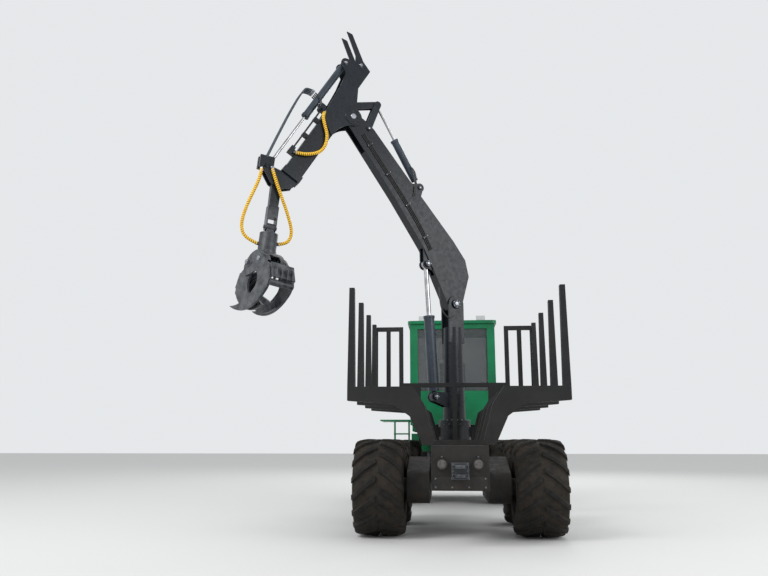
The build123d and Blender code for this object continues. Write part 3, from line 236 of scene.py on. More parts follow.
ACROSS = axis_of("lift")
ALONG = axis_of("extend") * -1
MACHINE = Place(pivot("steer") - Vector(STEER_AT), (1, 0, 0), (0, 1, 0))
BOX_UP = ACROSS.cross(ALONG)
BOX = Place(pivot("swing") - ALONG * HANG_AT[0] - BOX_UP * HANG_AT[1], ALONG, BOX_UP)
CHAIN = Place(pivot("swing"), pivot("cross_swing") - pivot("swing"), axis_of("cross_swing"))
GRAPPLE = Place(pivot("swing"), CHAIN.x, axis_of("jaws").cross(CHAIN.x))
KNEE_LINE = (pivot("fold") - pivot("lift")).normalized()
KNEE_TURN = math.atan2(KNEE_AT[1], KNEE_AT[0])
BEAM_X = KNEE_LINE * math.cos(KNEE_TURN) - ACROSS.cross(KNEE_LINE) * math.sin(KNEE_TURN)
BEAM = Place(pivot("lift"), BEAM_X, ACROSS.cross(BEAM_X))
CAMERA_AT = MACHINE.at(*CAMERA_BACK)


class Heap:
    """Pieces gathered into one mesh. Each face has a kind, the place of its paint in the heap's list."""

    def __init__(self):
        self.points, self.faces, self.kinds = [], [], []

    def skin(self, rings, kind=MAIN, shut=False):
        """Join rings of equally many points, and cap the ends of a skin that isn't shut on itself.

        A kind is a number, or a function of the ring and the point.
        """
        start, count = len(self.points), len(rings[0])
        for ring in rings:
            self.points += [tuple(point) for point in ring]
        last = len(rings) if shut else len(rings) - 1
        for row in range(last):
            low, high = start + row * count, start + (row + 1) % len(rings) * count
            for k in range(count):
                after = (k + 1) % count
                self.faces.append((low + k, low + after, high + after, high + k))
                self.kinds.append(kind(row, k) if callable(kind) else kind)
        if not shut:
            for row in (0, len(rings) - 1):
                self.faces.append(tuple(start + row * count + k for k in range(count)))
                self.kinds.append(MAIN if callable(kind) else kind)

    def turned(self, at, along, profile, sides, kind=MAIN, shut=False):
        """A turned piece: profile is pairs of distance along the axis and radius."""
        along = Vector(along).normalized()
        side = along.orthogonal().normalized()
        up = along.cross(side)
        rings = []
        turns = [2 * math.pi * k / sides for k in range(sides)]
        for far, radius in profile:
            rings.append([at + along * far + (side * math.cos(t) + up * math.sin(t)) * radius for t in turns])
        self.skin(rings, kind, shut=shut)

    def bolts(self, spots, along, size, kind=MAIN):
        """Hexagon heads on washers, on the side that along points to. The size is the washer's radius."""
        washer = ((-0.002, size), (size * 0.14, size), (size * 0.16, size * 0.9))
        top = ((0, size * 0.74), (size * 0.62, size * 0.74), (size * 0.72, size * 0.6))
        for spot in spots:
            self.turned(spot, along, washer, 14, kind)
            self.turned(spot, along, top, 6, kind)

    def slab(self, corners, along):
        """A flat piece: its outline, and the vector from its near face to its far one."""
        self.skin([corners, [corner + along for corner in corners]])

    def box(self, place, low, high):
        """A block between two corners in a place."""
        (x0, y0, z0), (x1, y1, z1) = low, high
        corners = place.points((x0, y0, z0), (x1, y0, z0), (x1, y1, z0), (x0, y1, z0))
        self.slab(corners, place.z * (z1 - z0))

    def pipe(self, line, radius, sides, kind=MAIN, start=0.0):
        """A tube along a line; radius and kind may be functions of the distance along it and the turn."""
        across = (line[1] - line[0]).orthogonal().normalized()
        rings = []
        far = [start]
        for i, point in enumerate(line):
            ahead = (line[min(i + 1, len(line) - 1)] - line[max(i - 1, 0)]).normalized()
            across = (across - ahead * across.dot(ahead)).normalized()
            up = ahead.cross(across)
            if i:
                far.append(far[-1] + (point - line[i - 1]).length)
            ring = []
            for k in range(sides):
                turn = 2 * math.pi * k / sides
                thick = radius(far[i], turn) if callable(radius) else radius
                ring.append(point + (across * math.cos(turn) + up * math.sin(turn)) * thick)
            rings.append(ring)
        if callable(kind):
            self.skin(rings, lambda row, k: kind(far[row], 2 * math.pi * (k + 0.5) / sides))
        else:
            self.skin(rings, kind)

    def make(self, name, paints, body=None, origin=(0, 0, 0)):
        """Turn the heap into an object, with a paint for each kind, riding a body."""
        origin = Vector(origin)
        mesh = bpy.data.meshes.new(name)
        mesh.from_pydata([Vector(point) - origin for point in self.points], [], self.faces)
        for paint in paints:
            mesh.materials.append(PAINTS[paint])
        mesh.polygons.foreach_set("material_index", self.kinds)
        edit = bmesh.new()
        edit.from_mesh(mesh)
        bmesh.ops.recalc_face_normals(edit, faces=edit.faces)
        edit.to_mesh(mesh)
        edit.free()
        mesh.shade_smooth()
        mesh.set_sharp_from_angle(angle=math.radians(SHARP_EDGE))
        thing = bpy.data.objects.new(name, mesh)
        thing.location = origin
        bpy.context.scene.collection.objects.link(thing)
        if paints[0] in RECORD_SLOTS:
            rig.slot(thing, paints[0])
        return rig.ride(thing, body) if body else thing


def ring_spots(centre, along, radius, count):
    """Points evenly round a centre, square to a line."""
    along = Vector(along).normalized()
    side = Vector((0, 0, 1)) if abs(along.z) < 0.9 else Vector((1, 0, 0))
    side = (side - along * side.dot(along)).normalized()
    up = along.cross(side)
    turns = [2 * math.pi * k / count for k in range(count)]
    return [centre + (side * math.cos(t) + up * math.sin(t)) * radius for t in turns]


def route(points, steps=12):
    """The line that a hose takes past these points, read from a curve."""
    curve = bpy.data.curves.new("route", "CURVE")
    curve.dimensions = "3D"
    curve.resolution_u = steps
    spline = curve.splines.new("NURBS")
    spline.points.add(len(points) - 1)
    for spot, point in zip(spline.points, points):
        spot.co = (*point, 1)
    spline.order_u = 3
    spline.use_endpoint_u = True
    thing = bpy.data.objects.new("route", curve)
    bpy.context.scene.collection.objects.link(thing)
    drawn = bpy.data.meshes.new_from_object(thing)
    line = [vertex.co.copy() for vertex in drawn.vertices]
    bpy.data.objects.remove(thing)
    bpy.data.meshes.remove(drawn)
    return line


def evenly(line, step):
    """The same line with points about a step apart."""
    made, left = [line[0]], step
    for near, far in zip(line, line[1:]):
        run = (far - near).length
        while run > left:
            near = near.lerp(far, left / run)
            made.append(near)
            run, left = (far - near).length, step
        left -= run
    return made + [line[-1]]


def length_of(line):
    return sum((far - near).length for near, far in zip(line, line[1:]))


# Finishes
class Shader:
    """A material made of nodes, with short calls for the patterns that the finishes share.

    Noises and distances are in the object's own metres. Every colour is linear red, green and blue.
    """

    def __init__(self, name, roughness, metallic=0.0):
        self.material = bpy.data.materials.new(name)
        self.material.use_nodes = True
        self.tree = self.material.node_tree
        self.surface = self.tree.nodes["Principled BSDF"]
        self.surface.inputs["Roughness"].default_value = roughness
        self.surface.inputs["Metallic"].default_value = metallic
        self.place = self.add("ShaderNodeTexCoord").outputs["Object"]
        self.soft = None

    def add(self, kind, **settings):
        node = self.tree.nodes.new(kind)
        for key, value in settings.items():
            setattr(node, key, value)
        return node

    def join(self, source, socket):
        """Feed a socket from another socket, a number or a colour."""
        if isinstance(source, bpy.types.NodeSocket):
            self.tree.links.new(source, socket)
        elif isinstance(source, (int, float)):
            socket.default_value = source
        else:
            socket.default_value = (*source, 1) if len(socket.default_value) == 4 else source

    def noise(self, scale, detail, rough=0.6, stretch=(1, 1, 1)):
        place = self.place
        if stretch != (1, 1, 1):
            mapping = self.add("ShaderNodeMapping")
            mapping.inputs["Scale"].default_value = stretch
            self.join(self.place, mapping.inputs["Vector"])
            place = mapping.outputs["Vector"]
        node = self.add("ShaderNodeTexNoise")
        self.join(place, node.inputs["Vector"])
        for key, value in (("Scale", scale), ("Detail", detail), ("Roughness", rough)):
            node.inputs[key].default_value = value
        return node.outputs["Fac"]

    def span(self, value, low, high, start=0.0, end=1.0):
        """Map a value from low..high to start..end and hold it there."""
        node = self.add("ShaderNodeMapRange", clamp=True)
        for key, number in (("From Min", low), ("From Max", high), ("To Min", start), ("To Max", end)):
            node.inputs[key].default_value = number
        self.join(value, node.inputs["Value"])
        return node.outputs["Result"]

    def cloud(self, scale, detail, low, high, rough=0.6, start=0.0, end=1.0):
        """Cloudy patches: start where a noise is under low, end where it is over high."""
        return self.span(self.noise(scale, detail, rough), low, high, start, end)

    def pair(self, kind, first, second):
        """Two values worked into one, held between 0 and 1."""
        node = self.add("ShaderNodeMath", operation=kind, use_clamp=True)
        self.join(first, node.inputs[0])
        self.join(second, node.inputs[1])
        return node.outputs[0]

    def times(self, first, second):
        return self.pair("MULTIPLY", first, second)

    def plus(self, first, second):
        return self.pair("ADD", first, second)

    def mix(self, share, first, second):
        node = self.add("ShaderNodeMix", data_type="RGBA")
        self.join(share, node.inputs["Factor"])
        self.join(first, node.inputs["A"])
        self.join(second, node.inputs["B"])
        return next(out for out in node.outputs if out.type == "RGBA")

    def axis(self, letter):
        node = self.add("ShaderNodeSeparateXYZ")
        self.join(self.place, node.inputs[0])
        return node.outputs[letter]

    def upward(self):
        """1 on faces that look up, 0 on those that look sideways or down."""
        node = self.add("ShaderNodeSeparateXYZ")
        self.join(self.add("ShaderNodeNewGeometry").outputs["Normal"], node.inputs[0])
        return self.span(node.outputs["Z"], *LOOKS_UP)

    def near(self, spot, inner, outer):
        """1 within the inner distance of a point, 0 beyond the outer one."""
        gap = self.add("ShaderNodeVectorMath", operation="DISTANCE")
        self.join(self.place, gap.inputs[0])
        self.join(tuple(spot), gap.inputs[1])
        return self.span(gap.outputs["Value"], outer, inner)

    def edges(self, radius):
        """Nearly 1 along sharp edges, 0 on flats. It also rounds the edges in the light."""
        bevel = self.add("ShaderNodeBevel", samples=4)
        bevel.inputs["Radius"].default_value = radius
        self.soft = bevel.outputs["Normal"]
        plain = self.add("ShaderNodeNewGeometry").outputs["Normal"]
        dot = self.add("ShaderNodeVectorMath", operation="DOT_PRODUCT")
        self.join(self.soft, dot.inputs[0])
        self.join(plain, dot.inputs[1])
        return self.span(dot.outputs["Value"], *EDGE_BEND)

    def bump(self, height, strength, distance):
        node = self.add("ShaderNodeBump")
        node.inputs["Strength"].default_value = strength
        node.inputs["Distance"].default_value = distance
        self.join(height, node.inputs["Height"])
        if self.soft is not None:
            self.join(self.soft, node.inputs["Normal"])
        self.join(node.outputs["Normal"], self.surface.inputs["Normal"])

    def specular(self, level):
        self.surface.inputs["Specular IOR Level"].default_value = level

    def colour(self, source):
        self.join(source, self.surface.inputs["Base Color"])

    def roughness(self, source):
        self.join(source, self.surface.inputs["Roughness"])


# What counts as looking up, and as an edge: the upward part of a face's direction, and how well a
# rounded surface still agrees with the face, each from none to full
LOOKS_UP = (0.25, 0.95)
EDGE_BEND = (0.985, 0.82)

# Dirt on every paint: mud is thickest near the ground, up to MUD_FULL, and there is none above MUD_TOP
MUD = (0.040, 0.030, 0.022)
MUD_FULL = 0.2
MUD_TOP = 1.9
DUST = (0.10, 0.092, 0.082)
DUST_SHARE = 0.35
PAINT_SPECULAR = 0.32
PAINT_EDGE = 0.007
STREAKS = (6, 6, 0.7)

# The crane's paint is rubbed to the metal round the grapple: round a point this far down from the tip
# link's pin, wholly within the first distance and not at all beyond the second
RUBBED_AT = 1.7
RUBBED_FULL = 1.05
RUBBED_END = 1.35
BARE_METAL = (0.115, 0.12, 0.13)


def painted(name, base, shade, worn, gloss, scratch=0.5, rubbed=0.0):
    """Machine paint: cloudy colour, rubbed edges, dust on top, and dried mud that thins out upwards."""
    s = Shader(name, roughness=gloss)
    s.specular(PAINT_SPECULAR)
    rub = s.times(s.edges(PAINT_EDGE), s.cloud(38, 4, 0.40, 0.60))
    body = s.mix(s.cloud(2.2, 6, 0.35, 0.68), base, shade)
    streak = s.span(s.noise(5, 7, 0.7, STREAKS), 0.60, 0.74)
    body = s.mix(s.times(streak, scratch), body, worn)
    body = s.mix(s.times(rub, 0.85), body, worn)
    chips = s.cloud(62, 6, 0.66, 0.72, rough=0.7)
    body = s.mix(s.times(chips, 0.5), body, worn)
    if rubbed:
        near = s.near(GRAPPLE.at(RUBBED_AT), RUBBED_FULL, RUBBED_END)
        bare = s.times(near, s.cloud(7, 8, 0.32, 0.62, rough=0.7))
        body = s.mix(s.times(bare, rubbed), body, BARE_METAL)
    dust = s.times(s.upward(), s.cloud(6, 7, 0.42, 0.72, rough=0.7))
    body = s.mix(s.times(dust, DUST_SHARE), body, DUST)
    splash = s.times(s.span(s.axis("Z"), MUD_TOP, MUD_FULL), s.cloud(9, 8, 0.36, 0.66, rough=0.72))
    s.colour(s.mix(splash, body, MUD))
    sheen = s.cloud(14, 5, 0.3, 0.7, start=gloss - 0.08, end=gloss + 0.12)
    s.roughness(s.plus(sheen, s.times(splash, 0.4)))
    s.bump(s.plus(s.noise(160, 3), s.times(splash, 0.8)), 0.12, 0.004)
    return s.material


def green_paint():
    return painted(
        "green_paint", base=(0.006, 0.215, 0.085), shade=(0.005, 0.15, 0.06), worn=(0.02, 0.10, 0.05),
        gloss=0.33,
    )


def crane_paint():
    return painted(
        "crane_paint", base=(0.004, 0.006, 0.009), shade=(0.009, 0.013, 0.019), worn=(0.06, 0.08, 0.105),
        gloss=0.30, scratch=0.28, rubbed=0.8,
    )


def frame_paint():
    return painted(
        "frame_paint", base=(0.006, 0.0065, 0.0075), shade=(0.013, 0.013, 0.0135), worn=(0.045, 0.042, 0.040),
        gloss=0.50,
    )


def cylinder_paint():
    return painted(
        "cylinder_paint", base=(0.022, 0.030, 0.040), shade=(0.045, 0.06, 0.08), worn=(0.17, 0.20, 0.24),
        gloss=0.30,
    )


def bright_steel():
    s = Shader("bright_steel", roughness=0.3, metallic=0.9)
    s.edges(0.003)
    s.colour(s.mix(s.cloud(9, 5, 0.4, 0.7), (0.36, 0.38, 0.41), (0.20, 0.21, 0.225)))
    s.roughness(s.cloud(34, 5, 0.3, 0.8, start=0.22, end=0.45))
    s.bump(s.noise(200, 3), 0.06, 0.001)
    return s.material


def rod_chrome():
    s = Shader("rod_chrome", roughness=0.18, metallic=1.0)
    s.colour(s.mix(s.cloud(7, 4, 0.4, 0.7), (0.55, 0.56, 0.58), (0.36, 0.35, 0.34)))
    s.roughness(s.cloud(30, 5, 0.3, 0.8, start=0.14, end=0.34))
    return s.material


def cast_steel():
    """Dark castings with bare edges and a little rust."""
    s = Shader("cast_steel", roughness=0.5, metallic=0.5)
    edge = s.edges(0.008)
    body = s.mix(s.cloud(5, 8, 0.35, 0.7, rough=0.7), (0.030, 0.033, 0.038), (0.085, 0.09, 0.098))
    body = s.mix(s.times(edge, 0.7), body, (0.30, 0.31, 0.32))
    body = s.mix(s.cloud(17, 6, 0.64, 0.76, rough=0.75), body, (0.075, 0.047, 0.032))
    s.colour(body)
    s.roughness(s.cloud(40, 4, 0.3, 0.75, start=0.36, end=0.62))
    s.bump(s.noise(90, 5), 0.25, 0.003)
    return s.material


# Mud is caked between the lugs: none outside the first radius, and all inside the second
CAKED_FROM = 0.605
CAKED_FULL = 0.575
RUBBER_SPECULAR = 0.25


def tyre_rubber():
    """Black rubber with mud caked between the lugs, and smears of it all over."""
    s = Shader("tyre_rubber", roughness=0.85)
    s.specular(RUBBER_SPECULAR)
    edge = s.edges(0.006)
    flat = s.add("ShaderNodeMapping")
    flat.inputs["Scale"].default_value = (0, 1, 1)
    s.join(s.place, flat.inputs["Vector"])
    gap = s.add("ShaderNodeVectorMath", operation="LENGTH")
    s.join(flat.outputs["Vector"], gap.inputs[0])
    radius = gap.outputs["Value"]
    caked = s.times(s.span(radius, CAKED_FROM, CAKED_FULL), s.cloud(7, 8, 0.36, 0.62, rough=0.75))
    smear = s.times(s.cloud(4.5, 9, 0.50, 0.68, rough=0.78), 0.7)
    body = s.mix(s.cloud(11, 6, 0.35, 0.7), (0.008, 0.0078, 0.0075), (0.016, 0.0148, 0.0135))
    body = s.mix(caked, body, (0.034, 0.027, 0.020))
    body = s.mix(smear, body, (0.030, 0.0245, 0.019))
    s.colour(s.mix(s.times(edge, 0.5), body, (0.045, 0.040, 0.035)))
    s.roughness(s.cloud(20, 5, 0.3, 0.7, start=0.66, end=0.95))
    s.bump(s.plus(s.noise(70, 7, 0.7), s.times(caked, 0.6)), 0.55, 0.008)
    return s.material


def window_glass():
    s = Shader("window_glass", roughness=0.06)
    s.colour(s.mix(s.cloud(3, 6, 0.4, 0.7), (0.05, 0.065, 0.07), (0.085, 0.095, 0.095)))
    s.surface.inputs["Alpha"].default_value = 0.55
    s.surface.inputs["Coat Weight"].default_value = 0.6
    return s.material


# The lamps on the tail are dusty, and those on the roof are clean
DUSTY_BELOW = 1.5
CLEAN_ABOVE = 2.0


def lamp_lens():
    s = Shader("lamp_lens", roughness=0.25)
    dusty = s.mix(s.cloud(18, 7, 0.36, 0.62, rough=0.7), (0.11, 0.105, 0.10), (0.045, 0.038, 0.033))
    clean = s.mix(s.cloud(60, 2, 0.4, 0.6), (0.55, 0.56, 0.57), (0.7, 0.7, 0.7))
    s.colour(s.mix(s.span(s.axis("Z"), CLEAN_ABOVE, DUSTY_BELOW), clean, dusty))
    return s.material


def seat_fabric():
    s = Shader("seat_fabric", roughness=0.9)
    s.colour(s.mix(s.cloud(220, 2, 0.4, 0.6), (0.022, 0.023, 0.026), (0.05, 0.052, 0.058)))
    s.bump(s.noise(420, 2), 0.4, 0.001)
    return s.material


def engine_iron():
    s = Shader("engine_iron", roughness=0.55, metallic=0.4)
    s.edges(0.01)
    s.colour(s.mix(s.cloud(8, 6, 0.4, 0.7), (0.05, 0.05, 0.05), (0.10, 0.095, 0.09)))
    s.bump(s.noise(60, 4), 0.2, 0.003)
    return s.material


def hose_yellow():
    s = Shader("hose_yellow", roughness=0.42)
    body = s.mix(s.cloud(14, 6, 0.35, 0.7), (0.86, 0.47, 0.008), (0.93, 0.57, 0.02))
    s.colour(s.mix(s.cloud(30, 7, 0.62, 0.78, rough=0.75), body, (0.38, 0.22, 0.03)))
    s.bump(s.noise(120, 3), 0.15, 0.001)
    return s.material


def hose_black():
    s = Shader("hose_black", roughness=0.5)
    s.colour(s.mix(s.cloud(20, 5, 0.4, 0.7), (0.012, 0.012, 0.013), (0.03, 0.029, 0.028)))
    s.bump(s.noise(300, 2), 0.1, 0.001)
    return s.material


FINISHES = {
    make.__name__: make
    for make in (
        green_paint, crane_paint, frame_paint, cylinder_paint, bright_steel, rod_chrome, cast_steel,
        tyre_rubber, window_glass, lamp_lens, seat_fabric, engine_iron, hose_yellow, hose_black,
    )
}
PAINTS = {slot: make() for slot, make in FINISHES.items()}

for node, thing in NODES.items():
    thing.data.materials.clear()
    thing.data.materials.append(PAINTS[SLOT_OF[node]])


# Wheels: a tyre with rounded lugs and ribbed walls, a dished rim and its nuts. Profiles are pairs of
# distance from the wheel's middle and radius.
TYRE_MIDDLE = (0.0, 0.5785)
TYRE_WALL = (
    (0.10, 0.578), (0.16, 0.576), (0.22, 0.568), (0.27, 0.557), (0.302, 0.545), (0.316, 0.522),
    (0.3195, 0.492), (0.3195, 0.486), (0.3225, 0.481), (0.3225, 0.440), (0.3195, 0.436), (0.3225, 0.430),
    (0.3215, 0.395), (0.316, 0.360), (0.308, 0.332), (0.311, 0.327), (0.304, 0.316), (0.286, 0.300),
    (0.272, 0.2953),
)
RIM = (
    (-0.290, 0.305), (-0.290, 0.280), (0.032, 0.278), (0.032, 0.1156), (0.060, 0.1156), (0.061, 0.230),
    (0.075, 0.248), (0.222, 0.274), (0.290, 0.279), (0.290, 0.305), (0.284, 0.307), (0.272, 0.2945),
    (-0.272, 0.2945), (-0.284, 0.307),
)

# Lugs, on each half of the tread. A lug sweeps round the tyre on its way out, in a slight bow.
LUGS = 16
LUG_TOP = 0.612
LUG_PATH = (
    (0.016, LUG_TOP - 0.008), (0.026, LUG_TOP), (0.10, LUG_TOP), (0.165, LUG_TOP), (0.22, 0.606),
    (0.27, 0.596), (0.305, 0.583), (0.322, 0.562), (0.329, 0.528),
)
LUG_FOOT = 0.525
LUG_FOOT_HALF = 0.040
LUG_SIDE_HALF = 0.034
LUG_TOP_HALF = 0.028
LUG_ROUND = 0.009
LUG_SWEEP = 0.25
LUG_BOW = 0.016
TREAD_RADIUS = 0.6
DISC_X = 0.060
NUTS = 10
NUT_RING = 0.150
VALVE_AT = (0.07, 0.236)
WHEEL_PAINTS = ("tyre_rubber", "frame_paint", "cast_steel")


def add_lug(heap, side, phase):
    """One lug, from the middle of the tread out and round the shoulder."""
    rings = []
    for x, top in LUG_PATH:
        share = (x - LUG_PATH[0][0]) / (LUG_PATH[-1][0] - LUG_PATH[0][0])
        sweep = LUG_SWEEP * (0.5 - share) + LUG_BOW * math.sin(math.pi * share)
        foot = min(LUG_FOOT, top - 0.02)
        half = [(LUG_TOP_HALF, top), (LUG_SIDE_HALF, top - LUG_ROUND), (LUG_FOOT_HALF, foot)]
        ring = []
        for off, radius in [(-off, radius) for off, radius in reversed(half)] + half:
            turn = phase + (sweep + off) / TREAD_RADIUS
            ring.append(Vector((side * x, radius * math.sin(turn), radius * math.cos(turn))))
        rings.append(ring)
    heap.skin(rings)


def wheel_mesh(side):
    """A wheel about the origin, with the rim's dish on the given side."""
    heap = Heap()
    wall = [(-x, radius) for x, radius in reversed(TYRE_WALL)] + [TYRE_MIDDLE] + list(TYRE_WALL)
    heap.turned(Vector(), (1, 0, 0), wall, 112, shut=True)
    step = 2 * math.pi / LUGS
    for half, offset in ((-1, 0), (1, step / 2)):
        for k in range(LUGS):
            add_lug(heap, half, k * step - offset)
    out = Vector((side, 0, 0))
    heap.turned(Vector(), out, RIM, 64, SECOND, shut=True)
    heap.bolts(ring_spots(out * DISC_X, out, NUT_RING, NUTS), out, 0.017, THIRD)
    valve = Vector((side * VALVE_AT[0], VALVE_AT[1], 0))
    heap.turned(valve, out, ((-0.02, 0.006), (0.03, 0.006), (0.032, 0.004)), 8, THIRD)
    return heap


def dress_wheels():
    drawn = {side: wheel_mesh(side) for side in (-1, 1)}
    for node in [name for name in NODES if name.startswith("wheel_")]:
        hub = pivot("spin_" + node.removeprefix("wheel_"))
        master = drawn[-1 if node.endswith("left") else 1]
        heap = Heap()
        heap.points = [tuple(Vector(point) + hub) for point in master.points]
        heap.faces = master.faces
        heap.kinds = master.kinds
        tyre = heap.make(node + "_detailed", WHEEL_PAINTS, BODY_OF[node], origin=hub)
        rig.replaces(tyre, node)


# Hoses in spiral guards. A guard's share runs from 0 to 1 over each turn. Its band stands proud of the
# groove, and the yellow goes a little past the band on both sides.
HOSE_D = 0.058
GUARD_PITCH = 0.034
GUARD_STEP = GUARD_PITCH / 9
GUARD_GROOVE = 0.005
BAND_START = 0.1
BAND_END = 0.66
YELLOW_END = 0.72


def guard_share(far, turn):
    return (far / GUARD_PITCH - turn / (2 * math.pi)) % 1


def guard_radius(far, turn):
    on_band = BAND_START < guard_share(far, turn) < BAND_END
    return HOSE_D / 2 if on_band else HOSE_D / 2 - GUARD_GROOVE


def guard_kind(far, turn):
    return MAIN if guard_share(far, turn) < YELLOW_END else SECOND


def guarded(name, line, start=0.0):
    """A hose with its guard along a line. The spiral goes on from the start length."""
    heap = Heap()
    heap.pipe(evenly(line, GUARD_STEP), guard_radius, 16, guard_kind, start)
    return heap.make(name, ("hose_yellow", "hose_black"))


def declare(hose, line):
    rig.cord(
        hose, exit=tuple(line[0]), length=length_of(line), diameter=HOSE_D, far_end="object",
        stiffness="stiff", path=[tuple(point) for point in line],
    )


# Each hose's way, from the fitting it leaves to the one it ends in
BOOM_HOSE = route(BOX.points(
    (0.130, 0.176, -0.128), (0.215, 0.170, -0.158), (0.330, 0.060, -0.165), (0.450, -0.080, -0.165),
    (0.620, -0.165, -0.165), (0.800, -0.165, -0.165), (0.940, -0.065, -0.165), (1.045, 0.050, -0.162),
    (1.095, 0.170, -0.131),
))
TIP_HOSE_LEFT = route(CHAIN.points(
    (-0.162, 0.290, -0.060), (-0.040, 0.294, -0.058), (0.120, 0.326, -0.050), (0.300, 0.378, -0.040),
    (0.490, 0.430, -0.030), (0.680, 0.468, -0.020), (0.840, 0.476, -0.012), (0.970, 0.438, -0.006),
    (1.060, 0.335, -0.002), (1.096, 0.172, 0.0),
))
TIP_HOSE_RIGHT = route(CHAIN.points(
    (-0.175, 0.122, -0.117), (-0.050, 0.072, -0.130), (0.100, 0.0, -0.130), (0.260, -0.090, -0.120),
    (0.420, -0.185, -0.100), (0.580, -0.275, -0.070), (0.715, -0.345, -0.040), (0.830, -0.372, -0.018),
    (0.930, -0.350, -0.008), (1.005, -0.285, -0.002), (1.040, -0.172, 0.0),
))
# A tip hose is cut this far down from the tip link's pin, and each length bends between two shares of it
TIP_CUT = 0.45
UPPER_BEND = (0.15, 0.9)
LOWER_BEND = (0.1, 0.85)


def add_boom_hose():
    hose = guarded("boom_hose", BOOM_HOSE)
    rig.ride(hose, "outer_boom")
    declare(hose, BOOM_HOSE)


def add_tip_hose(side, line):
    """Two lengths of one hose: the upper one bends over the swing, the lower one over the cross swing."""
    cut = min(range(len(line)), key=lambda i: abs((line[i] - CHAIN.origin).dot(CHAIN.x) - TIP_CUT))
    upper, lower = line[:cut + 1], line[cut:]
    for part, piece, start, bodies, bend in (
        ("upper", upper, 0.0, ("extension", "tip_link"), UPPER_BEND),
        ("lower", lower, length_of(upper), ("tip_link", "rotator"), LOWER_BEND),
    ):
        hose = guarded(f"tip_hose_{side}_{part}", piece, start)
        near, far = [piece[round(share * (len(piece) - 1))] for share in bend]
        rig.blend(hose, *bodies, near, far)
        declare(hose, piece)


def arc(start, middle, end, count):
    """Points along the arc through three points, without its start."""
    (ax, ay), (bx, by), (cx, cy) = start, middle, end
    twice = 2 * (ax * (by - cy) + bx * (cy - ay) + cx * (ay - by))
    a2, b2, c2 = ax * ax + ay * ay, bx * bx + by * by, cx * cx + cy * cy
    x = (a2 * (by - cy) + b2 * (cy - ay) + c2 * (ay - by)) / twice
    y = (a2 * (cx - bx) + b2 * (ax - cx) + c2 * (bx - ax)) / twice
    radius = math.hypot(ax - x, ay - y)
    first, mid, last = (math.atan2(q - y, p - x) for p, q in (start, middle, end))
    turn = (last - first) % (2 * math.pi)
    if (mid - first) % (2 * math.pi) > turn:
        turn -= 2 * math.pi
    turns = [first + turn * k / count for k in range(1, count + 1)]
    return [(x + radius * math.cos(t), y + radius * math.sin(t)) for t in turns]


# Outlines of plates, and the places of pins in them, are in millimetres
MILLI = 1000


def spot_in(place, spot, z=0.0):
    """A spot in millimetres in a place, at a height in metres."""
    return place.at(spot[0] / MILLI, spot[1] / MILLI, z)


def plate(heap, place, outline, low, high):
    """A flat plate with an outline in a place, between two heights in metres."""
    heap.slab([spot_in(place, spot, low) for spot in outline], place.z * (high - low))


def pin(heap, place, spot, half, radius):
    """A pin across a place, with a chamfer at both ends."""
    edge = min(0.004, radius / 4)
    profile = ((-half, radius - edge), (-half + edge, radius), (half - edge, radius), (half, radius - edge))
    heap.turned(spot_in(place, spot), place.z, profile, 24, SECOND)


# Outer boom: two plates with horns round the knee, a sleeve ahead of them and its collar
PLATE_IN = BOOM_HALF + 0.006
PLATE_OUT = PLATE_IN + 0.024
OUTER_TURN = math.radians(4)
OUTER_X = BOX.x * math.cos(OUTER_TURN) + BOX.y * math.sin(OUTER_TURN)
OUTER = Place(pivot("fold"), OUTER_X, ACROSS.cross(OUTER_X))
SLEEVE_L = 1.5
SLEEVE_HALF = 0.16
SLEEVE_WALL = 0.012
COLLAR_AT = SLEEVE_L - 0.12
COLLAR_WALL = 0.02
KNEE_PIN = (0, 0)
HORN_PIN = (-900, 480)
EXT_FOOT = (-720, 710)
KNEE_BOSS = ((0.01, 0.15), (0.034, 0.15), (0.038, 0.146))
KNEE_BOLTS = 0.095
KNEE_BOLTS_OUT = PLATE_OUT + 0.014
PIN_BOSS = ((-0.01, 0.052), (0.008, 0.052), (0.010, 0.048))
# A pin's place, how far it stands out of the plates, and its radius
OUTER_PINS = ((KNEE_PIN, 0.022, 0.05), (HORN_PIN, 0.025, 0.030), (EXT_FOOT, 0.02, 0.025))
FRONT_END = (588, 64)
HEEL = (140, -96)
HORN_ROOT = (-140, -20)
FOOT_TOP = (-640, 740)
OUTER_PLATE = (
    [(420, 400), (-300, 520), (-560, 590), FOOT_TOP]
    + arc(FOOT_TOP, (-720, 795), (-800, 740), 8)
    + [(-870, 590), (-977, 660), (-1225, 1058), (-1262, 955), (-993, 489), (-940, 283), (-500, 250)]
    + [(-160, 40), HORN_ROOT] + arc(HORN_ROOT, (-20, -165), HEEL, 8) + arc(HEEL, (300, 22), FRONT_END, 10)
)


def add_sleeve(boom):
    """The four walls of the sleeve, and the collar round its end."""
    high, wide, wall = SLEEVE_HALF, PLATE_IN, SLEEVE_WALL
    top, side = high + COLLAR_WALL, wide + COLLAR_WALL
    for x, low, far in (
        (0, (high - wall, -wide), (high, wide)),
        (0, (-high, -wide), (wall - high, wide)),
        (0, (-high, wide - wall), (high, wide)),
        (0, (-high, -wide), (high, wall - wide)),
        (COLLAR_AT, (high, -side), (top, side)),
        (COLLAR_AT, (-top, -side), (-high, side)),
        (COLLAR_AT, (-high, wide), (high, side)),
        (COLLAR_AT, (-high, -side), (high, -wide)),
    ):
        boom.box(BOX, (x, *low), (SLEEVE_L, *far))


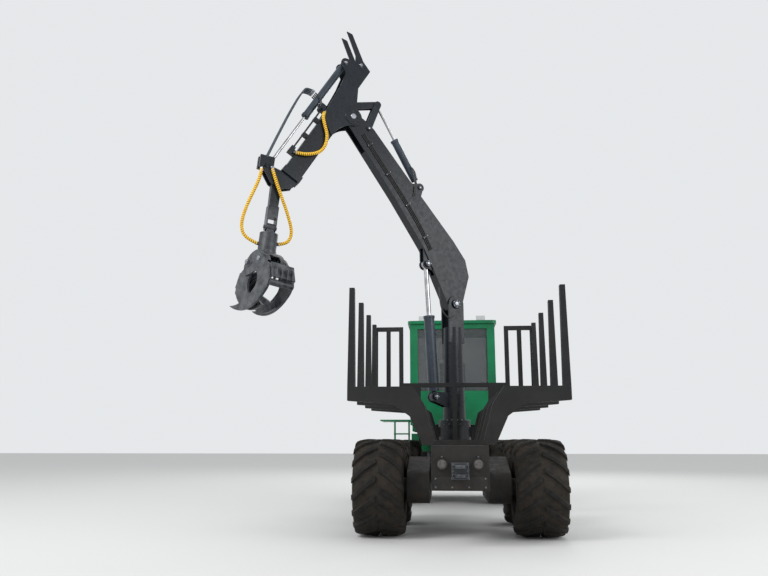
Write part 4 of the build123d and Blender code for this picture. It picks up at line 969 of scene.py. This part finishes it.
def outer_boom():
    boom = Heap()
    for side in (-1, 1):
        out = OUTER.z * side
        plate(boom, OUTER, OUTER_PLATE, *sorted((side * PLATE_IN, side * PLATE_OUT)))
        boom.turned(OUTER.at(0, 0, side * PLATE_IN), out, KNEE_BOSS, 40)
        boom.bolts(ring_spots(OUTER.at(0, 0, side * KNEE_BOLTS_OUT), OUTER.z, KNEE_BOLTS, 6), out, 0.012)
        for spot in (HORN_PIN, EXT_FOOT):
            boom.turned(spot_in(OUTER, spot, side * PLATE_OUT), out, PIN_BOSS, 24)
    for spot, proud, radius in OUTER_PINS:
        pin(boom, OUTER, spot, PLATE_OUT + proud, radius)
    add_sleeve(boom)
    made = boom.make("outer_boom_detailed", ("crane_paint", "bright_steel"), "outer_boom")
    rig.replaces(made, "outer_boom")


# Pipes laid on the sleeve, and the blocks and clamps that hold them: each one's place along the
# sleeve, length, underside, top and outer side
PIPE_Y = 0.245
PIPE_ZS = (-0.045, -0.08, -0.115)
PIPE_ENDS = (0.12, 1.06)
PIPE_R = 0.014
CLAMP_IN = -0.025
PIPE_CLAMPS = (
    (0.085, 0.09, SLEEVE_HALF, 0.21, -0.105), (0.085, 0.09, 0.21, 0.305, -0.195),
    (1.10, 0.10, SLEEVE_HALF, 0.21, -0.105), (1.10, 0.10, 0.21, 0.29, -0.195),
    (0.33, 0.05, SLEEVE_HALF, 0.262, -0.132), (0.70, 0.05, SLEEVE_HALF, 0.262, -0.132),
)


# How deep each hose's nut sits in its block, and how far its collar reaches
BOOM_FITTING = (0.034, 0.05)
TIP_FITTING = (0.045, 0.06)


def add_fitting(heap, end, along, depth, reach):
    """A hexagon nut sunk a depth into its block, and the collar that reaches along the hose."""
    heap.turned(end, along, ((-depth, 0.027), (0.006, 0.027), (0.008, 0.025)), 6, SECOND)
    heap.turned(end, along, ((0.0, 0.0255), (reach, 0.0255), (reach + 0.002, 0.0235)), 16, SECOND)


def boom_pipes():
    pipes = Heap()
    for x, width, low, high, out in PIPE_CLAMPS:
        pipes.box(BOX, (x - width / 2, low, out), (x + width / 2, high, CLAMP_IN))
        pipes.bolts([BOX.at(x, high, out + 0.025), BOX.at(x, high, CLAMP_IN - 0.02)], BOX.y, 0.010, SECOND)
    for z in PIPE_ZS:
        pipes.pipe([BOX.at(x, PIPE_Y, z) for x in PIPE_ENDS], PIPE_R, 12)
    for end, after in ((BOOM_HOSE[0], BOOM_HOSE[3]), (BOOM_HOSE[-1], BOOM_HOSE[-4])):
        add_fitting(pipes, end, after - end, *BOOM_FITTING)
    pipes.make("boom_pipes", ("crane_paint", "bright_steel"), "outer_boom")


# Tip of the extension: the cheeks of its block, ports and four hooked pipes
CHEEK_IN = 0.030
CHEEK_OUT = PLATE_IN - 0.018
CHEEK_LOW = (-0.396, 0.099)
CHEEK_HIGH = (-0.187, 0.342)
SPARE_PORT_AT = (-0.19, 0.128)
SPARE_PORT = ((0, 0.027), (0.055, 0.027), (0.058, 0.024))
HOOK_ZS = (-0.088, -0.029, 0.029, 0.088)
HOOK = ((SLEEVE_L - 0.03, 0.49), (0.76, 0.605), (0.23, 0.67), (0.02, 0.68), (-0.06, 0.66), (-0.099, 0.52))
HOOK_R = 0.015
HOOK_NUT = ((-0.05, 0.019), (0.0, 0.019), (0.003, 0.016))


def extension_tip():
    tip = Heap()
    for side in (-1, 1):
        near, far = sorted((side * CHEEK_IN, side * CHEEK_OUT))
        tip.box(CHAIN, (*CHEEK_LOW, near), (*CHEEK_HIGH, far))
    for line in (TIP_HOSE_LEFT, TIP_HOSE_RIGHT):
        add_fitting(tip, line[0], line[3] - line[0], *TIP_FITTING)
    tip.turned(CHAIN.at(*SPARE_PORT_AT, 0.01 - CHEEK_OUT), CHAIN.z * -1, SPARE_PORT, 16, SECOND)
    for z in HOOK_ZS:
        hooked = route(BOX.points(*((x, y, z) for x, y in HOOK)))
        tip.pipe(hooked, HOOK_R, 10, THIRD)
        tip.turned(hooked[-1], hooked[-1] - hooked[-2], HOOK_NUT, 6, SECOND)
    tip.make("extension_tip", ("crane_paint", "bright_steel", "cylinder_paint"), "extension")


# Rotator: the ports that the hoses end in, and the bolts of its flange
FLANGE_X = 0.9
FLANGE_RING = 0.122
PORT = ((-0.035, 0.030), (0.0, 0.030), (0.004, 0.027))
PORT_NUT = ((0.0, 0.027), (0.028, 0.027), (0.031, 0.024))


def rotator_ports():
    rotator = Heap()
    for line, side in ((TIP_HOSE_LEFT, 1), (TIP_HOSE_RIGHT, -1)):
        out = CHAIN.y * side
        rotator.turned(line[-1], out, PORT, 16)
        rotator.turned(line[-1], out, PORT_NUT, 6, SECOND)
    rotator.bolts(ring_spots(CHAIN.at(FLANGE_X), CHAIN.x, FLANGE_RING, 10), CHAIN.x * -1, 0.011, SECOND)
    rotator.make("rotator_ports", ("crane_paint", "bright_steel"), BODY_OF["rotator"])


# Grapple: a domed head of two plates, and a wide and a narrow jaw. The dome's cover leaves the middle
# open where the jaws turn: within HEAD_SLOT, and more than HEAD_OPEN millimetres down.
HEAD_IN = 0.150
HEAD_OUT = 0.180
HEAD_SLOT = 0.095
HEAD_OPEN = 1325
HEAD_TOP = 1212
HEAD_END = 1430
HEAD_HALF = 345
DOME_WALL = 25
DOME_LIP = 5
HALF_FOOT = [(1560, 345), (1612, 270), (1600, 120)]
FOOT_MIDDLE = (1570, 0)
HEAD_COLLAR = ((0, 0.16), (0.05, 0.16), (0.05, 0.13))
HEAD_COLLAR_AT = 1.2003
HEAD_BOLTS = 0.145
HEAD_BOLTS_AT = 1.216
JAW_PIN = (1400, 190)
JAW_PIN_R = 0.040
JAW_PIN_END = 0.245
JAW_PIN_BOSS = ((-0.01, 0.078), (0.006, 0.078), (0.008, 0.074))
GRAB_EYE = (1560, 330)


def dome(top, half):
    """The dome's outline, from one corner over the top to the other."""
    corner = (HEAD_END, -half)
    return [corner] + arc(corner, (top, 0), (HEAD_END, half), 24)


def grapple_head():
    head = Heap()
    outside = dome(HEAD_TOP, HEAD_HALF)
    inside = dome(HEAD_TOP + DOME_WALL, HEAD_HALF - DOME_LIP)
    foot = HALF_FOOT + [FOOT_MIDDLE] + [(x, -y) for x, y in reversed(HALF_FOOT)]
    for low, high in ((HEAD_IN, HEAD_OUT), (-HEAD_OUT, -HEAD_IN)):
        plate(head, GRAPPLE, outside + foot, low, high)
    for low, high, end in (
        (-HEAD_IN, -HEAD_SLOT, HEAD_END + 1), (-HEAD_SLOT, HEAD_SLOT, HEAD_OPEN),
        (HEAD_SLOT, HEAD_IN, HEAD_END + 1),
    ):
        head.skin([
            [spot_in(GRAPPLE, *corner) for corner in ((out, low), (out, high), (within, high), (within, low))]
            for out, within in zip(outside, inside) if out[0] < end
        ])
    head.turned(CHAIN.at(HEAD_COLLAR_AT), CHAIN.x, HEAD_COLLAR, 40)
    head.bolts(ring_spots(CHAIN.at(HEAD_BOLTS_AT), CHAIN.x, HEAD_BOLTS, 12), CHAIN.x * -1, 0.010, SECOND)
    half_pin = ((HEAD_SLOT, JAW_PIN_R), (JAW_PIN_END - 0.004, JAW_PIN_R), (JAW_PIN_END, JAW_PIN_R - 0.004))
    for side in (-1, 1):
        hub = spot_in(GRAPPLE, (JAW_PIN[0], side * JAW_PIN[1]))
        for face in (-1, 1):
            out = GRAPPLE.z * face
            head.turned(hub, out, half_pin, 24, SECOND)
            head.turned(hub + out * HEAD_OUT, out, JAW_PIN_BOSS, 28)
    made = head.make("grapple_head_detailed", ("crane_paint", "bright_steel"), BODY_OF["grapple_head"])
    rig.replaces(made, "grapple_head")


# A jaw's outline, drawn for the side that y points to. Each jaw has its own tip, and its own distance
# from its middle to its claws.
JAW_TOP = (1470, 400)
JAW_BACK = (1690, 585)
JAW_KNUCKLE = (1937, 525)
JAW_BELLY = (2205, -30)
JAW_HOLLOW = (2075, -200)
JAW_PALM = (1905, 140)
JAW_PALM_SIDE = (1770, 225)
JAW_ROOT = (1640, 190)
JAW_ROUND = [(1500, 120), (1420, 112), (1330, 150)]
JAW_START = (1340, 262)
JAW_PLATE = [(1519, 529), (1508, 557), (1751, 651), (1762, 623)]
JAW_TUBE = (1830, 575)
JAW_TUBE_R = 0.055
JAW_BOSS = ((0, 0.085), (0.040, 0.085), (0.044, 0.08))
EAR = [(1650, 560), (1520, 350), (1530, 300), (1590, 292), (1720, 500)]
EYE_CAP = ((0, 0.036), (0.014, 0.036), (0.018, 0.032))
RIB = [(1530, 545), (1600, 660), (1760, 670), (1830, 575), (1640, 590)]
CLAW_HALF = 0.02
EAR_LOW = 0.028
EAR_HIGH = 0.048
RIB_HALF = 0.007
RIB_SHARES = (-0.7, -0.25, 0.25, 0.7)


def jaw(name, side, claw, tip):
    """One jaw: two curved claws, and between them a plate, a tube, ribs and the cylinder's ears."""

    def flip(*spots):
        return [(x, side * y) for x, y in spots]

    heap = Heap()
    start, top, back, knuckle, belly = flip(JAW_START, JAW_TOP, JAW_BACK, JAW_KNUCKLE, JAW_BELLY)
    hollow, palm, palm_side, root = flip(JAW_HOLLOW, JAW_PALM, JAW_PALM_SIDE, JAW_ROOT)
    point = (tip[0], -side * tip[1])
    outline = (
        [start, top] + arc(top, back, knuckle, 12) + arc(knuckle, belly, point, 18)
        + arc(point, hollow, palm, 12) + arc(palm, palm_side, root, 8) + flip(*JAW_ROUND)
    )
    hub, eye, tube = flip(JAW_PIN, GRAB_EYE, JAW_TUBE)
    for face in (-1, 1):
        plate(heap, GRAPPLE, outline, *sorted((face * (claw - CLAW_HALF), face * (claw + CLAW_HALF))))
        heap.turned(spot_in(GRAPPLE, hub, face * (claw - CLAW_HALF)), GRAPPLE.z * face, JAW_BOSS, 28)
        plate(heap, GRAPPLE, flip(*EAR), *sorted((face * EAR_LOW, face * EAR_HIGH)))
    plate(heap, GRAPPLE, flip(*JAW_PLATE), -claw, claw)
    heap.turned(spot_in(GRAPPLE, tube, -claw), GRAPPLE.z, ((0, JAW_TUBE_R), (2 * claw, JAW_TUBE_R)), 24)
    for share in RIB_SHARES:
        plate(heap, GRAPPLE, flip(*RIB), share * claw - RIB_HALF, share * claw + RIB_HALF)
    for face in (-1, 1):
        heap.turned(spot_in(GRAPPLE, eye, face * (EAR_HIGH - 0.004)), GRAPPLE.z * face, EYE_CAP, 20, SECOND)
    made = heap.make(name + "_detailed", ("crane_paint", "bright_steel"), BODY_OF[name])
    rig.replaces(made, name)


# Rear frame: rings and glasses of the lamps, a plate on the tail, plugs and bolts
BACK = Vector((0, -1, 0))
UP = Vector((0, 0, 1))
LAMP_X = 0.21
LAMP_Y = -1.985
LAMP_Z = 0.94
LAMP_RING = ((-0.03, 0.069), (0.012, 0.069), (0.015, 0.065), (0.004, 0.061))
LAMP_GLASS = ((0.0, 0.060), (0.006, 0.050), (0.010, 0.030), (0.011, 0.004))
AXLES_Y = (-0.75, 0.75)
AXLE_X = 1.052
AXLE_Z = 0.615
AXLE_BOLTS = 0.098
TAIL_PLATE = ((-0.31, -1.966, 0.655), (0.31, -1.949, 0.800))
TAIL_BOLTS_X = (-0.285, -0.095, 0.095, 0.285)
TAIL_BOLTS_Z = (0.68, 0.775)
HITCH_BOLTS_X = (-0.08, 0.08)
HITCH_BOLTS_Z = (0.785, 0.86, 0.935)
PLUG_Y = -1.955
PLUG_Z = 1.02
PLUG = ((-0.01, 0.012), (0.02, 0.012), (0.024, 0.009))
CRANE_FOOT = (0, 2.45, 1.48)
CRANE_FOOT_BOLTS = 0.305
PILLAR_FOOT = (0, 2.45, 1.5503)
PILLAR_BOLTS = 0.255


def rear_details():
    rear = Heap()
    for side in (-1, 1):
        lamp = MACHINE.at(side * LAMP_X, LAMP_Y, LAMP_Z)
        rear.turned(lamp, BACK, LAMP_RING, 36)
        rear.turned(lamp, BACK, LAMP_GLASS, 36, THIRD)
        for y in AXLES_Y:
            axle = MACHINE.at(side * AXLE_X, y, AXLE_Z)
            rear.bolts(ring_spots(axle, (1, 0, 0), AXLE_BOLTS, 10), Vector((side, 0, 0)), 0.011, SECOND)
    rear.box(MACHINE, *TAIL_PLATE)
    tail_bolts = [(x, TAIL_PLATE[0][1], z) for x in TAIL_BOLTS_X for z in TAIL_BOLTS_Z]
    rear.bolts(MACHINE.points(*tail_bolts), BACK, 0.010, SECOND)
    hitch_bolts = [(x, LAMP_Y, z) for x in HITCH_BOLTS_X for z in HITCH_BOLTS_Z]
    rear.bolts(MACHINE.points(*hitch_bolts), BACK, 0.009, SECOND)
    rear.bolts(ring_spots(MACHINE.at(*CRANE_FOOT), UP, CRANE_FOOT_BOLTS, 20), UP, 0.012, SECOND)
    for side in (-1, 1):
        rear.turned(MACHINE.at(side * LAMP_X, PLUG_Y, PLUG_Z), BACK, PLUG, 12, SECOND)
    rear.make("rear_details", ("frame_paint", "cast_steel", "lamp_lens"), "rear_frame")


def cap(heap, spot, out, size, bolts):
    """A round cap on the end of a pin, with bolts round it where there are any."""
    heap.turned(spot, out, ((-0.006, size), (0.010, size), (0.014, size - 0.004)), 28)
    heap.turned(spot, out, ((0.012, size * 0.45), (0.017, size * 0.45), (0.019, size * 0.38)), 20, SECOND)
    if bolts:
        heap.bolts(ring_spots(spot + out.normalized() * 0.014, out, size * 0.74, bolts), out, 0.009, SECOND)


# How far out each cap on the pillar is, its radius and its number of bolts
LIFT_CAP = (PLATE_OUT + 0.026, 0.085, 6)
CYLINDER_CAP = (0.101, 0.055, 4)


def pillar_details():
    pillar = Heap()
    for face in (-1, 1):
        out = ACROSS * face
        for joint, (far, size, bolts) in (("lift", LIFT_CAP), ("lift_pivot", CYLINDER_CAP)):
            cap(pillar, pivot(joint) + out * far, out, size, bolts)
    pillar.bolts(ring_spots(MACHINE.at(*PILLAR_FOOT), UP, PILLAR_BOLTS, 18), UP, 0.014, SECOND)
    pillar.make("pillar_details", ("crane_paint", "bright_steel"), "crane_pillar")


# Main boom: three thin lines along the side that the camera sees, their clamps, the hoses at its foot
# and at the fold cylinder, and pin caps
LINE_Z = -0.116
LINE_STEPS = (0.00, 0.030, 0.060)
LINE_WAY = ((1.05, 0.16), (1.45, 0.24), (2.0, 0.27), (2.6, 0.28), (3.2, 0.29), (3.42, 0.30))
LINE_CLAMPS = ((1.30, 0.26), (1.95, 0.32), (2.60, 0.33), (3.20, 0.34))
LINE_R = 0.009
LINE_CLAMP_LOW = (-0.016, -0.070, -0.128)
LINE_CLAMP_HIGH = (0.016, 0.045, -0.104)
LINE_CLAMP_BOLTS = (-0.058, 0.033)
FOOT_LOOP_R = 0.013
FOLD_HOSE_R = 0.010
FOLD_HOSE_STEPS = (0.0, 0.045)
LOOP_R = 0.012
FOOT_LOOP = (
    (0.42, -0.10, -0.118), (0.30, -0.20, -0.15), (0.14, -0.31, -0.16), (-0.05, -0.33, -0.15),
    (-0.16, -0.24, -0.13), (-0.15, -0.10, -0.13),
)
# A cap's place along and across the boom, distance from its middle, radius and number of bolts
BOOM_CAPS = (
    (0.88, 0, BOOM_HALF + 0.002, 0.062, 4), (3.455, 0.494, BOOM_HALF + 0.013, 0.042, 0),
    (2.08, 0.76, 0.060, 0.044, 0), (3.966, 0.480, 0.115, 0.040, 0),
)


def main_boom_details():
    arm = Heap()
    for step in LINE_STEPS:
        arm.pipe(route(BEAM.points(*((x, y + step, LINE_Z) for x, y in LINE_WAY)), 8), LINE_R, 8, THIRD)
    for x, y in LINE_CLAMPS:
        low, high = [(x + dx, y + dy, z) for dx, dy, z in (LINE_CLAMP_LOW, LINE_CLAMP_HIGH)]
        arm.box(BEAM, low, high)
        arm.bolts([BEAM.at(x, y + off, low[2]) for off in LINE_CLAMP_BOLTS], ACROSS * -1, 0.008, SECOND)
    for face in (-1, 1):
        for x, y, out, size, bolts in BOOM_CAPS:
            cap(arm, BEAM.at(x, y, face * out), ACROSS * face, size, bolts)
    arm.pipe(route(BEAM.points(*FOOT_LOOP), 10), FOOT_LOOP_R, 10, THIRD)
    for step in FOLD_HOSE_STEPS:
        fold_hose = route(BEAM.points(
            (2.02, 0.50 + step, -0.120), (2.10, 0.60, -0.135), (2.26, 0.72 + step, -0.120),
            (2.42, 0.80 + step, -0.090), (2.50, 0.815, -0.075),
        ), 10)
        arm.pipe(fold_hose, FOLD_HOSE_R, 8, THIRD)
    arm.make("main_boom_details", ("crane_paint", "bright_steel", "hose_black"), "main_boom")


def outer_boom_hoses():
    """Black hoses from the hooked pipes down to the pipes on the sleeve."""
    loops = Heap()
    for z in HOOK_ZS:
        way = route(BOX.points(
            (-0.085, 0.50, z), (-0.07, 0.38, z), (0.0, 0.30, z - 0.01), (0.075, 0.29, z * 0.9 - 0.02),
            (0.13, 0.262, z * 0.5 - 0.06),
        ), 10)
        loops.pipe(way, LOOP_R, 8)
    loops.make("outer_boom_hoses", ("hose_black",), "outer_boom")


dress_wheels()
add_boom_hose()
add_tip_hose("left", TIP_HOSE_LEFT)
add_tip_hose("right", TIP_HOSE_RIGHT)
outer_boom()
boom_pipes()
extension_tip()
rotator_ports()
grapple_head()
jaw("grapple_jaw_left", side=1, claw=0.124, tip=(2150, 320))
jaw("grapple_jaw_right", side=-1, claw=0.210, tip=(2098, 555))
rear_details()
pillar_details()
main_boom_details()
outer_boom_hoses()

# Floor, light and camera. A lamp is its name, place, aim, size and power.
SURROUND = (0.93, 0.95, 0.97, 1)
SURROUND_STRENGTH = 0.85
LAMPS = (
    ("key", (-9, -12, 13), (0, 0, 2.5), 7, 1500),
    ("fill", (12, -8, 7), (0, -1, 2), 8, 700),
    ("back", (4, 13, 12), (0, 0, 3), 8, 900),
)


def stage():
    """A pale floor, a pale surround and three soft lamps."""
    mesh = bpy.data.meshes.new("floor")
    half = FLOOR_SIZE / 2
    corners = [(-half, -half, 0), (half, -half, 0), (half, half, 0), (-half, half, 0)]
    mesh.from_pydata(corners, [], [(0, 1, 2, 3)])
    floor = bpy.data.objects.new("floor", mesh)
    bpy.context.scene.collection.objects.link(floor)
    ground = Shader("floor", roughness=0.9)
    ground.colour(FLOOR_COLOUR)
    mesh.materials.append(ground.material)
    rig.stage(floor)
    world = bpy.data.worlds.new("surround")
    world.use_nodes = True
    background = world.node_tree.nodes["Background"]
    background.inputs["Color"].default_value = SURROUND
    background.inputs["Strength"].default_value = SURROUND_STRENGTH
    bpy.context.scene.world = world
    for name, at, aim, size, power in LAMPS:
        data = bpy.data.lights.new(name, "AREA")
        data.energy = power
        data.size = size
        lamp = bpy.data.objects.new(name, data)
        lamp.location = at
        lamp.rotation_euler = (Vector(aim) - Vector(at)).to_track_quat("-Z", "Y").to_euler()
        bpy.context.scene.collection.objects.link(lamp)


def camera():
    data = bpy.data.cameras.new("view")
    data.lens = CAMERA_LENS
    data.sensor_width = 36
    data.sensor_fit = "HORIZONTAL"
    eye = bpy.data.objects.new("view", data)
    eye.location = CAMERA_AT
    eye.rotation_euler = (math.radians(90 + CAMERA_PITCH), 0, math.radians(CAMERA_YAW))
    bpy.context.scene.collection.objects.link(eye)
    bpy.context.scene.camera = eye
    bpy.context.scene.view_settings.view_transform = "Standard"


stage()
camera()

with open("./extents.json", "w") as out:
    json.dump({"cad": [list(corner) for corner in CAD_BOX], "visual": [list(corner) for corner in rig.bounds()]}, out)
